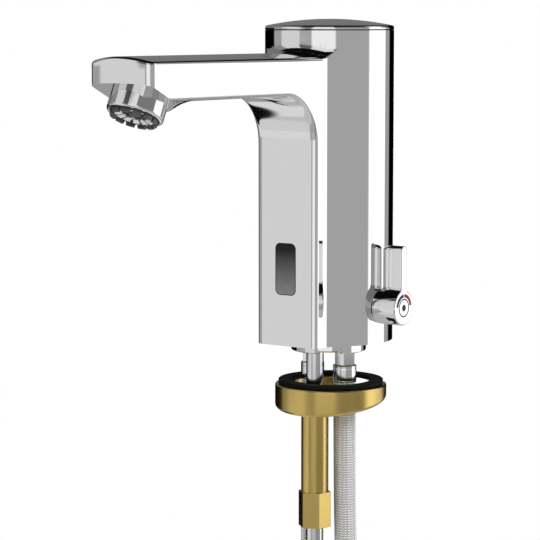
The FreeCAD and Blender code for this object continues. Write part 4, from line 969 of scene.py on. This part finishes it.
def cap_profile(radius, base):
    """Foot, upright rim, an edge arc tangent to rim and dome, and the dome, whose radius (r^2 + h^2) / 2h
    follows from its width and rise."""
    dome = (radius**2 + CAP_RISE**2) / (2 * CAP_RISE)
    middle = base + CAP_RIM + CAP_RISE - dome
    lean = math.asin((radius - CAP_EDGE) / (dome - CAP_EDGE))
    shoulder = middle + (dome - CAP_EDGE) * math.cos(lean)
    foot = rounded([(0, base), (radius, base), (radius, shoulder)], [CAP_FOOT], 4)[:-1]
    turn = np.linspace(np.pi / 2, lean, 8)
    bend = np.column_stack([radius - CAP_EDGE + CAP_EDGE * np.sin(turn), shoulder + CAP_EDGE * np.cos(turn)])
    turn = np.linspace(lean, 0, 24)[1:]
    arc = np.column_stack([dome * np.sin(turn), middle + dome * np.cos(turn)])
    return np.concatenate([foot, bend, arc])


# The window, and for the glass and its seal how far the outline grows, stands proud, and its edge rounding.
WINDOW_HALF_WIDTH = 5.1
WINDOW_HALF_HEIGHT = 11.1
WINDOW_CORNER = 2.2
WINDOW_MIDDLE = 33.8
WINDOW_DEPTH = 3.0
GLASS = (0.0, 0.16, 0.14, 3)
GLASS_SEAL = (0.3, 0.1, 0.05, 2)


def window_plate(grow, proud, edge, steps):
    """A plate in the slab's front with the window's outline, grown all round."""
    front = sizes()["slab_front"]
    wide, tall = WINDOW_HALF_WIDTH + grow, WINDOW_HALF_HEIGHT + grow
    box = [(-wide, -tall), (wide, -tall), (wide, tall), (-wide, tall)]
    outline = loop(box, [WINDOW_CORNER + grow] * len(box), 10)
    low, high = level(front - WINDOW_DEPTH), level(front + proud)
    return plate(Skin(), outline, low, high, edge, (0, 0, WINDOW_MIDDLE), FORWARD, steps)


class MIXER_OT_window(bpy.types.Operator):
    """Dark window over the sensor, low on the slab"""

    bl_idname = "mixer.window"
    bl_label = "Sensor window"

    def execute(self, context):
        window_plate(*GLASS).build("window", "window", "body", "sensor_glass", ["sensor_window"])
        window_plate(*GLASS_SEAL).build("window_seal", "rubber", "body", "black_rubber")
        return {"FINISHED"}


# The aerator's sleeve by radius and height along its own axis, with its corner radii.
AERATOR_SLEEVE = ((9.9, 0.3), (11.6, 0.3), (11.6, -7.6), (10.1, -7.6), (10.1, -2.0), (9.9, -2.0))
AERATOR_CORNERS = (0.0, 1.1, 0.15, 0.0)
# Rings of its mouth and of the grid behind it: radius, height, and how deep a notch cuts.
AERATOR_MOUTH = ((9.8, -2.2, 0.0), (9.8, -9.3, 1.5), (8.4, -9.3, 1.5), (8.2, -9.15, 1.5))
AERATOR_MOUTH += ((8.2, -7.5, 0.0), (9.0, -7.5, 0.0), (9.0, -2.2, 0.0))
AERATOR_GRID = ((8.1, -4.0, 0.0), (8.1, -8.0, 1.2), (7.7, -8.0, 1.2), (5.2, -7.4, 1.2))
AERATOR_GRID += ((4.8, -7.0, 0.0), (4.8, -4.0, 0.0))
AERATOR_COLUMNS = 240
# Notches round the mouth, and half a notch as a share of their pitch.
NOTCHES = 12
NOTCH_SHARE = 0.14


class MIXER_OT_aerator(bpy.types.Operator):
    """Slanted outlet with a notched mouth"""

    bl_idname = "mixer.aerator"
    bl_label = "Aerator"

    def execute(self, context):
        s = sizes()
        drop = s["aerator_setback"] * math.tan(s["aerator_tilt"])
        at = (0, s["aerator_setback"] - s["reach"], s["tip_low"] - drop)
        place = at, slanted(s["aerator_tilt"])
        sleeve = lathed(rounded(AERATOR_SLEEVE, AERATOR_CORNERS), AERATOR_COLUMNS, *place)
        sleeve.build("aerator", "chrome", "body", "chrome", ["aerator_housing"])
        share = np.linspace(0, NOTCHES, AERATOR_COLUMNS, endpoint=False)
        notch = np.abs((share + 0.5) % 1 - 0.5) < NOTCH_SHARE
        mouth = notched(AERATOR_MOUTH, notch, *place)
        mouth.build("aerator_mouth", "grey_plastic", "body", "grey_plastic")
        between = np.roll(notch, AERATOR_COLUMNS // NOTCHES // 2)
        grid = notched(AERATOR_GRID, between, *place)
        grid.build("aerator_grid", "white_plastic", "body", "white_plastic")
        return {"FINISHED"}


# The lever along X, from the column outwards, with profiles by radius and distance from the axis.
HUB_RADIUS = 7.7
HUB_START = 27.9
HUB_EDGE = 0.3
PADDLE_START = 29.1
PADDLE_HALF = 2.1
PADDLE_TOP = 27.2
PADDLE_FILLET = 3.0
PADDLE_BEVEL = (1.9, 4.6)
LEVER_END = 39.8
LEVER_EDGE = 0.6
LEVER_COLUMNS = 120
SEAL_COLUMNS = 96
SMALL_COLUMNS = 72
# The hub's sleeve lies just outside the paddle's plate, so that the two don't flicker, and ends inside it.
COLLAR_PROUD = 0.004
COLLAR_END = 34.3
ROSETTE = ((7.1, 21.0), (8.4, 21.0), (8.4, 27.3), (7.1, 27.3))
ROSETTE_CORNERS = (0.0, 0.4)
LEVER_SEAL = ((6.8, 27.0), (7.5, 27.0), (7.5, 28.1), (6.8, 28.1))
# Colour marks: where each starts and stops in degrees, inner and outer radius, how far they stand proud, and
# their edges. Marks and the gap round the button reach into the lever's face by the face depth.
MARKS = (("blue", 93, 173), ("red", 7, 87))
MARK_RADII = (4.6, 6.1)
MARK_PROUD = 0.05
MARK_EDGE = 0.03
MARK_POINTS = 40
FACE_DEPTH = 0.4
BUTTON_GAP = (3.55, 4.1)
BUTTON_PROUD = 0.04
# The screw's head and its hexagon socket: radius, depth and how far it stands proud. A flat face closes the
# socket, and with the near-black head it is painted shade of the socket's recess.
BOLT_RADIUS = 1.5
BOLT_DEPTH = 1.6
BOLT_PROUD = 0.06
BOLT_EDGE = 0.1
SOCKET_ACROSS = 1.9
SOCKET_TURN = 0.3
SOCKET_CORNER = 0.1
SOCKET_PROUD = 0.02


class MIXER_OT_lever(bpy.types.Operator):
    """Rosette, lever with its upright paddle, screw and the two colour marks"""

    bl_idname = "mixer.lever"
    bl_label = "Lever"

    def execute(self, context):
        place = (0, 0, sizes()["lever_height"]), SIDEWAYS
        rosette = lathed(rounded(ROSETTE, ROSETTE_CORNERS, 4), LEVER_COLUMNS, *place)
        rosette.build("rosette", "chrome", "body", "chrome", ["lever_sleeve"])
        low, high = level(PADDLE_START), level(LEVER_END)
        skin = plate(Skin(), lever_outline(), low, high, LEVER_EDGE, *place, 7, low_bevel=PADDLE_BEVEL)
        out = HUB_RADIUS + COLLAR_PROUD
        collar = [(0, HUB_START), (out, HUB_START), (out, COLLAR_END), (0, COLLAR_END)]
        collar = turned(rounded(collar, [HUB_EDGE, 0], 4), LEVER_COLUMNS)
        skin.grid(placed(collar, *place), around=True)
        skin.build("lever", "chrome", "lever", "chrome", ["lever_handle"])
        lathed(LEVER_SEAL, SEAL_COLUMNS, *place).build("lever_seal", "rubber", "body", "black_rubber")
        deep = LEVER_END - FACE_DEPTH
        for name, begin, stop in MARKS:
            angle = np.radians(np.linspace(begin, stop, MARK_POINTS))
            mark = np.concatenate([circular(MARK_RADII[1], angle), circular(MARK_RADII[0], angle[::-1])])
            skin = plate(Skin(), mark, level(deep), level(LEVER_END + MARK_PROUD), MARK_EDGE, *place, 1)
            skin.build("mark_" + name, name, "lever", name + "_mark", ["marker_" + name])
        into, out = BUTTON_GAP
        proud = LEVER_END + BUTTON_PROUD
        gap = lathed([(into, deep), (into, proud), (out, proud), (out, deep)], SMALL_COLUMNS, *place)
        gap.build("button_gap", "rubber", "lever", "black_rubber")
        socket = hexagon(SOCKET_ACROSS, SOCKET_TURN, 4, SOCKET_CORNER)
        low, high = level(LEVER_END - BOLT_DEPTH), level(LEVER_END + BOLT_PROUD)
        head = plate(Skin(), ring_of(socket, BOLT_RADIUS), low, high, BOLT_EDGE, *place, 2, socket)
        # A flat dark face closes the socket just proud of the lever's face: painted shade in place of the
        # recess.
        head.flat(placed(raised(socket, LEVER_END + SOCKET_PROUD), *place))
        head.build("lever_bolt", "dark_steel", "lever", "bright_steel", ["lever_screw"])
        return {"FINISHED"}


def lever_outline():
    """Hub circle with an upright paddle that ends in a half circle: the paddle's sides run into the hub by
    hollow arcs of the fillet radius, whose centres lie at half + fillet from the middle and at hub + fillet
    from the hub's."""
    side = PADDLE_HALF + PADDLE_FILLET
    rise = math.sqrt((HUB_RADIUS + PADDLE_FILLET) ** 2 - side**2)
    meet = math.atan2(rise, side)
    hub = circular(HUB_RADIUS, np.linspace(np.pi - meet, 2 * np.pi + meet, 90))
    hollow = circular(PADDLE_FILLET, np.linspace(np.pi + meet, np.pi, 10)[1:]) + (side, rise)
    tip = circular(PADDLE_HALF, np.linspace(0, np.pi / 2, 7)) + (0, PADDLE_TOP - PADDLE_HALF)
    flank = np.concatenate([hollow, tip])
    return np.concatenate([hub, flank, flank[-2::-1] * (-1, 1)])


# Rings of the centring ring: radius, height, and how deep its notch cuts; the notch's place and half width.
BASE_RINGS = ((15.6, 4.0, 0.0), (15.6, -5.2, 1.0), (16.45, -5.2, 1.0), (16.75, -4.9, 1.0))
BASE_RINGS += ((16.75, -0.05, 0.0), (23.8, -0.05, 0.0), (23.8, 4.0, 0.0))
BASE_NOTCH_AT = math.radians(36 - 90)
BASE_NOTCH_HALF = 0.3
BASE_COLUMNS = 360
STUD = ((0, -100), (3.1, -100), (3.9, -99.2), (3.9, 4.4), (0, 4.4))
STUD_CORNERS = (0.2, 0.3, 0)
STUD_AT = (0, -10.7, 0)


class MIXER_OT_base(bpy.types.Operator):
    """Centring ring under the column and the fixing stud"""

    bl_idname = "mixer.base"
    bl_label = "Base ring and stud"

    def execute(self, context):
        v = np.linspace(0, 2 * np.pi, BASE_COLUMNS, endpoint=False)
        off = np.abs((v - BASE_NOTCH_AT + np.pi) % (2 * np.pi) - np.pi)
        ring = notched(BASE_RINGS, off < BASE_NOTCH_HALF)
        ring.build("base_collar", "chrome", "body", "chrome", ["base_ring"])
        stud = lathed(rounded(STUD, STUD_CORNERS, 3), SMALL_COLUMNS, STUD_AT, closed=False)
        stud.build("fixing_stud", "steel", "body", "bright_steel", ["stud"])
        return {"FINISHED"}


GASKET = ((18.0, -19.5), (18.0, -18.5), (23.5, -18.5), (23.5, -20.5), (18.0, -20.5), (18.0, -19.5))
GASKET_CORNER = 0.35
GASKET_COLUMNS = 180
# The clamp's place and outline, its flat top, its slanted underside from the deep side on, and its edges.
CLAMP_AT = (0.7, 0.7, 0)
CLAMP_RADIUS = 25.0
CLAMP_OPENING = 17.9
CLAMP_WEB = -6.3
CLAMP_SLOT = (-3.0, 15.0)
CLAMP_CORNER = 1.9
CLAMP_TOP = -20.52
CLAMP_DEEP = -32.7
CLAMP_RISE = 7.4
CLAMP_EDGE = 0.7
CLAMP_BEVEL = (1.7, 1.7)
# The long nut: hexagon below, tube above.
NUT_ACROSS = 13.0
NUT_TURN = math.radians(20)
NUT_ENDS = (-84.1, -68.1)
NUT_EDGE = 0.25
NUT_BORE = 4.2
NUT_COLUMNS = 96
NUT_TUBE = ((NUT_BORE, -70.0), (6.1, -70.0), (6.1, -30.9), (NUT_BORE, -30.9))
NUT_TUBE_CORNERS = (0.0, 0.4)


class MIXER_OT_clamp(bpy.types.Operator):
    """Rubber gasket, wedge-shaped brass clamp and the long nut"""

    bl_idname = "mixer.clamp"
    bl_label = "Clamp"

    def execute(self, context):
        profile = rounded(GASKET, [GASKET_CORNER] * 4, 4)[:-1]
        rubber = lathed(profile, GASKET_COLUMNS, CLAMP_AT)
        rubber.build("gasket", "rubber", "clamp", "black_rubber", ["flange_gasket"])

        def bottom(x, y):
            """The slanted underside, which rises evenly from the deep side to the other."""
            return CLAMP_DEEP + CLAMP_RISE * np.clip((y / CLAMP_RADIUS + 1) / 2, 0, 1)

        top = level(CLAMP_TOP)
        wedge = plate(Skin(), clamp_outline(), bottom, top, CLAMP_EDGE, CLAMP_AT, low_bevel=CLAMP_BEVEL)
        wedge.build("clamp_wedge", "brass", "clamp", "satin_brass", ["clamp_flange"])
        outline = hexagon(NUT_ACROSS, NUT_TURN)
        nut = lathed(rounded(NUT_TUBE, NUT_TUBE_CORNERS, 4), NUT_COLUMNS, STUD_AT)
        low, high = (level(end) for end in NUT_ENDS)
        plate(nut, outline, low, high, NUT_EDGE, STUD_AT, steps=2, hole=ring_of(outline, NUT_BORE))
        nut.build("long_nut", "brass", "nut", "satin_brass", ["sleeve_nut"])
        return {"FINISHED"}


def clamp_outline():
    """Plan of the clamp: outer circle, a slot straight out of it at the back with rounded corners, and a
    round opening behind the stud's web. A corner arc touches the slot's side and a circle about the middle
    from within the brass."""
    outer, inner, corner = CLAMP_RADIUS, CLAMP_OPENING, CLAMP_CORNER
    left, right = CLAMP_SLOT

    def centre(x, radius):
        """The point at x, at the back of a circle about the middle."""
        return np.array([x, math.sqrt(radius**2 - x**2)])

    def arc(middle, radius, start, stop, count):
        """Points of a circle about a point."""
        return middle + circular(radius, np.linspace(start, stop, count))

    spots = [centre(right + corner, outer - corner), centre(left - corner, outer - corner)]
    spots += [centre(left - corner, inner + corner), centre(right + corner, inner + corner)]
    turn = [math.atan2(y, x) for x, y in spots]
    floor = math.asin(CLAMP_WEB / inner)
    arcs = [
        arc(spots[0], corner, np.pi, turn[0], 8)[:-1],
        arc(0, outer, turn[0], turn[1] - 2 * np.pi, 150),
        arc(spots[1], corner, turn[1], 0, 8)[1:],
        arc(spots[2], corner, 0, turn[2] - np.pi, 8)[:-1],
        arc(0, inner, turn[2], np.pi - floor, 60),
        arc(0, inner, floor, turn[3], 60),
        arc(spots[3], corner, turn[3] + np.pi, np.pi, 8)[1:],
    ]
    return np.concatenate(arcs)


# Where a hose leaves its nipple and where its union hangs, for the side at +X.
HOSE_TOP_AT = (8.7, 0, 0)
HOSE_FOOT_AT = (20.0, 2.0, 0)
NIPPLE_ACROSS = 8.4
NIPPLE_ENDS = (-11.5, -4.6)
NIPPLE_EDGE = 0.3
# Ferrules: lower ends at the top and at the foot, length, and radii of bore, rim and wall.
CRIMP_TOP = -19.3
CRIMP_FOOT = -326.8
CRIMP_LENGTH = 7.8
CRIMP_RADII = (4.75, 5.1, 5.25)
CRIMP_EDGE = 0.12
# Pressed rings: depth, and place and width as shares of a ferrule's length. The wall stops one such width
# before its ends.
CRIMP_DEPTH = 0.05
CRIMP_SHARES = (0.14, 0.86)
CRIMP_WIDTH_SHARE = 0.04
TAIL = ((2.2, -326.8), (5.0, -326.8), (5.0, -332.8), (7.6, -332.8), (7.6, -335.8), (2.2, -335.8))
TAIL_CORNERS = (0.2, 0.3, 0.4, 0.4)
WASHER = ((4.2, -335.8), (7.6, -335.8), (7.6, -337.8), (4.2, -337.8))
WASHER_CORNERS = (0.3, 0.3)
# Union nut: ends, hexagon as shares of its width at each height, and its bore with a thread.
UNION_ACROSS = 19.0
UNION_TURN = 0.2
UNION_LOW = -343.8
UNION_HIGH = -328.8
UNION_HEX_SHARES = ((0.94, UNION_HIGH), (1.0, UNION_HIGH - 0.9), (1.0, UNION_LOW + 0.5), (0.965, UNION_LOW))
UNION_HOLE = 5.3
UNION_BORE = 8.6
UNION_ROOF = UNION_HIGH - 3.6
THREAD_LEAD = UNION_LOW + 0.5
THREAD_RADII = (7.95, 8.3)
THREAD_ENDS = (UNION_LOW + 0.9, UNION_LOW + 5.6)
THREAD_STEP = 0.35
THREAD_RELIEF = UNION_LOW + 5.9


class MIXER_OT_fittings(bpy.types.Operator):
    """Nipples, ferrules, tails, washers and union nuts of both hoses"""

    bl_idname = "mixer.fittings"
    bl_label = "Hose fittings"

    def execute(self, context):
        low, high = (level(end) for end in NIPPLE_ENDS)
        for name, sign in SIDES:
            top, foot = ((sign * x, y, z) for x, y, z in (HOSE_TOP_AT, HOSE_FOOT_AT))
            skin = plate(Skin(), hexagon(NIPPLE_ACROSS), low, high, NIPPLE_EDGE, top, steps=2)
            skin.build("nipple_nut_" + name, "nickel", "body", "chrome", ["nipple_" + name])
            skin = lathed(crimped(CRIMP_TOP), SMALL_COLUMNS, top)
            lower = placed(turned(crimped(CRIMP_FOOT), SMALL_COLUMNS), foot)
            skin.grid(lower, around=True, closed=True)
            skin.build("crimp_" + name, "nickel", "body", "chrome", ["ferrules_" + name])
            tail = lathed(rounded(TAIL, TAIL_CORNERS, 3), SMALL_COLUMNS, foot)
            tail.build("tail_" + name, "nickel", "body", "chrome", ["union_tail_" + name])
            washer = lathed(rounded(WASHER, WASHER_CORNERS, 3), SMALL_COLUMNS, foot)
            washer.build("seat_" + name, "rubber", "body", "black_rubber", ["union_washer_" + name])
            union = Skin().grid(placed(union_rows(), foot), around=True, closed=True)
            union.build("union_" + name, "nickel", "union_" + name, "chrome", ["union_nut_" + name])
        return {"FINISHED"}


def crimped(low):
    """Profile of a ferrule: a smooth sleeve with a pressed ring near each end, whose depth follows a bell
    curve."""
    high = low + CRIMP_LENGTH
    bore, rim, radius = CRIMP_RADII
    share = np.linspace(CRIMP_WIDTH_SHARE, 1 - CRIMP_WIDTH_SHARE, 40)
    ring = sum(np.exp(-(((share - at) / CRIMP_WIDTH_SHARE) ** 2)) for at in CRIMP_SHARES)
    wall = np.column_stack([radius - CRIMP_DEPTH * ring, low + share * CRIMP_LENGTH])
    start, stop = [(bore, low), (rim, low + CRIMP_EDGE)], [(rim, high - CRIMP_EDGE), (bore, high)]
    return np.concatenate([start, wall, stop])


def union_rows():
    """Rows of a union nut from its roof hole over the hexagon to its mouth and up its thread."""
    outline = hexagon(UNION_ACROSS, UNION_TURN)
    rows = [raised(ring_of(outline, UNION_HOLE), UNION_HIGH)]
    rows += [raised(outline * share, z) for share, z in UNION_HEX_SHARES]
    bore = [(UNION_BORE, UNION_LOW), (THREAD_RADII[1], THREAD_LEAD)]
    bore += [(THREAD_RADII[i % 2], z) for i, z in enumerate(np.arange(*THREAD_ENDS, THREAD_STEP))]
    bore += [(UNION_BORE, THREAD_RELIEF), (UNION_BORE, UNION_ROOF), (UNION_HOLE, UNION_ROOF)]
    rows += [raised(ring_of(outline, r), z) for r, z in bore]
    return np.array(rows)


# Route of a hose from its upper ferrule to its lower one, in metres, for the side at +X.
HOSE_ROUTE = (
    (0.0087, 0.0, -0.0193),
    (0.0087, 0.0, -0.09722),
    (0.01277, 0.0028, -0.17814),
    (0.02, 0.002, -0.25307),
    (0.02, 0.002, -0.319),
)
# The braid: strands each way, the length of one turn, a strand's half width as a share of its room, how deep
# its middle lies under the hose's radius, how far it weaves in and out, and how far its edges drop.
STRANDS = 24
LAY_LENGTH = 27.0
STRAND_SHARE = 0.36
STRAND_DEPTH = 0.16
STRAND_WEAVE = 0.1
STRAND_DROP = 0.2
LINER_DEPTH = 0.28
BRAID_ROWS = 560


class MIXER_OT_hoses(bpy.types.Operator):
    """Two braided hoses that hang from the base"""

    bl_idname = "mixer.hoses"
    bl_label = "Hoses"

    def execute(self, context):
        radius = sizes()["hose_radius"]
        for name, sign in SIDES:
            route = [(sign * x, y, z) for x, y, z in HOSE_ROUTE]
            tube = hose_curve("hose_core_" + name, route, radius - LINER_DEPTH)
            tube.data.materials.append(finish("liner"))
            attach(tube, "body")
            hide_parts("hose_" + name)
            woven = braid("hose_braid_" + name, tube, radius)
            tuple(route[0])
        return {"FINISHED"}


def hose_curve(name, route, radius):
    """A smooth spline of order 3 with the route's points as control points, thickened to a tube."""
    curve = bpy.data.curves.new(name, "CURVE")
    curve.dimensions = "3D"
    curve.resolution_u = 24
    spline = curve.splines.new("NURBS")
    spline.points.add(len(route) - 1)
    for point, place in zip(spline.points, route):
        point.co = (*place, 1)
    spline.use_endpoint_u = True
    spline.order_u = 3
    made = bpy.data.objects.new(name, curve)
    bpy.context.scene.collection.objects.link(made)
    curve.bevel_depth = radius * MM
    curve.bevel_resolution = 6
    curve.use_fill_caps = True
    return made


def centre_line(tube):
    """Points of a hose's spline in millimetres, read from a copy of the curve with no thickness, and their
    distances along it."""
    thin = tube.data.copy()
    thin.bevel_depth = 0
    probe = bpy.data.objects.new("probe", thin)
    mesh = bpy.data.meshes.new_from_object(probe)
    points = np.zeros(len(mesh.vertices) * 3)
    mesh.vertices.foreach_get("co", points)
    bpy.data.objects.remove(probe)
    bpy.data.curves.remove(thin)
    bpy.data.meshes.remove(mesh)
    points = points.reshape(-1, 3) / MM
    gone = np.concatenate([[0], np.cumsum(np.linalg.norm(np.diff(points, axis=0), axis=1))])
    return points, gone


def braid(name, tube, radius):
    """Two sets of flat strands wound round a hose: at distance s the angle is a0 +- 2 pi s / lay, and the
    radius goes up and down by the weave as a strand passes over and under the other set."""
    points, gone = centre_line(tube)
    steps = np.linspace(0, gone[-1], BRAID_ROWS)
    middle = np.stack([np.interp(steps, gone, points[:, i]) for i in range(3)], -1)
    ahead = np.gradient(middle, axis=0)
    ahead /= np.linalg.norm(ahead, axis=1)[:, None]
    side = np.cross(ahead, [0, 1.0, 0])
    side /= np.linalg.norm(side, axis=1)[:, None]
    other = np.cross(ahead, side)
    across = np.array([-1, 0, 1])
    wide = 2 * np.pi / STRANDS * STRAND_SHARE
    skin = Skin()
    for way in (1, -1):
        for strand in range(STRANDS):
            angle = 2 * np.pi * (strand / STRANDS + way * steps / LAY_LENGTH)
            wave = np.cos(np.pi * (STRANDS * steps / LAY_LENGTH + strand + (way > 0)))
            r = (radius - STRAND_DEPTH + STRAND_WEAVE * wave)[:, None] - STRAND_DROP * np.abs(across)
            turn = angle[:, None] + wide * across
            out, along = (r * np.cos(turn))[..., None], (r * np.sin(turn))[..., None]
            skin.grid(middle[:, None] + side[:, None] * out + other[:, None] * along)
    return skin.build(name, "braid", "body", "steel_braid", weighted=False)


SPRING_WIRE = 0.35
SPRING_TURNS = 6
SPRING_RINGS = 32
SPRING_COLUMNS = 12


class MIXER_OT_spring(bpy.types.Operator):
    """Spring above the pilot plunger, built at its imported length; the real one shortens as the plunger
    lifts
    """

    bl_idname = "mixer.spring"
    bl_label = "Pilot spring"

    def execute(self, context):
        low, high = [np.array(corner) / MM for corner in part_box("plunger_spring")]
        x, y = ((low + high) / 2)[:2]
        radius = (high[0] - low[0]) / 2 - SPRING_WIRE
        rings = placed(coiled(radius, low[2] + SPRING_WIRE, high[2] - SPRING_WIRE), (x, y, 0))
        skin = Skin().grid(rings, around=True).flat(rings[0]).flat(rings[-1])
        nodes = ["plunger_spring"]
        made = skin.build("pilot_spring", "steel", "body", "bright_steel", nodes, weighted=False)
        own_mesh(made)
        return {"FINISHED"}


def coiled(radius, low, high):
    """A wire of radius w wound round Z: its centre line is (r cos a, r sin a, z), where z rises evenly with
    a, and each ring of the wire lies square to that line, w (out cos v + up sin v) from it."""
    a = np.linspace(0, 2 * np.pi * SPRING_TURNS, SPRING_RINGS * SPRING_TURNS + 1)[:, None]
    v = np.linspace(0, 2 * np.pi, SPRING_COLUMNS, endpoint=False)[None, :, None]
    slope = (high - low) / (2 * np.pi * SPRING_TURNS * radius)
    line = np.stack([radius * np.cos(a), radius * np.sin(a), low + radius * slope * a], -1)
    out = np.stack([np.cos(a), np.sin(a), 0 * a], -1)
    up = np.stack([slope * np.sin(a), -slope * np.cos(a), 1 + 0 * a], -1) / math.hypot(1, slope)
    return line + SPRING_WIRE * (out * np.cos(v) + up * np.sin(v))


INNER = {
    "brass": ("manifold", "cartridge_nut", "spindle"),
    "steel": ("plunger", "plunger_tube", "solenoid_yoke", "battery_contacts"),
    "rubber": ("cap_seal", "base_seal", "aerator_washer", "cartridge_gasket", "spindle_seal", "tube_seal",
               "valve_diaphragm", "pilot_seal"),
    "black_plastic": ("sensor_housing", "control_module", "battery_holder", "sensor_diodes"),
    "white_plastic": ("valve_body", "valve_bonnet", "cartridge_housing", "spindle_bush", "outlet_tube"),
    "grey_plastic": ("aerator_insert",),
    "red": ("limiter_ring",),
    "ceramic": ("disc_fixed", "disc_moving"),
    "copper": ("solenoid_coil",),
    "battery": ("battery",),
}


class MIXER_OT_inner(bpy.types.Operator):
    """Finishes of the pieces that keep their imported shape"""

    bl_idname = "mixer.inner"
    bl_label = "Inner pieces"

    def execute(self, context):
        for name, nodes in INNER.items():
            for node in nodes:
                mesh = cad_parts[node].data
                mesh.materials.clear()
                mesh.materials.append(finish(name))
        return {"FINISHED"}


class MIXER_PT_panel(bpy.types.Panel):
    """Lists the pieces of the mixer"""

    bl_idname = "MIXER_PT_panel"
    bl_label = "Basin mixer"
    bl_space_type = "VIEW_3D"
    bl_region_type = "UI"
    bl_category = "Mixer"

    def draw(self, context):
        for operator in OPERATORS:
            self.layout.operator(operator.bl_idname)
        for group in (context.scene.mixer_sizes, context.scene.mixer_colours):
            box = self.layout.box()
            for name in type(group).__annotations__:
                box.prop(group, name)


OPERATORS = (
    MIXER_OT_stage,
    MIXER_OT_casting,
    MIXER_OT_cap,
    MIXER_OT_window,
    MIXER_OT_aerator,
    MIXER_OT_lever,
    MIXER_OT_base,
    MIXER_OT_clamp,
    MIXER_OT_fittings,
    MIXER_OT_hoses,
    MIXER_OT_spring,
    MIXER_OT_inner,
)
CLASSES = (MixerSizes, MixerColours, *OPERATORS, MIXER_PT_panel)


def register():
    """Registers the classes and hangs the sizes and colours on the scene."""
    for kind in CLASSES:
        bpy.utils.register_class(kind)
    bpy.types.Scene.mixer_sizes = bpy.props.PointerProperty(type=MixerSizes)
    bpy.types.Scene.mixer_colours = bpy.props.PointerProperty(type=MixerColours)


def unregister():
    """Takes back what register did."""
    del bpy.types.Scene.mixer_colours
    del bpy.types.Scene.mixer_sizes
    for kind in reversed(CLASSES):
        bpy.utils.unregister_class(kind)


def main():
    """Builds all pieces in order."""
    register()
    for operator in OPERATORS:
        group, name = operator.bl_idname.split(".")
        getattr(getattr(bpy.ops, group), name)()


if __name__ == "__main__":
    main()
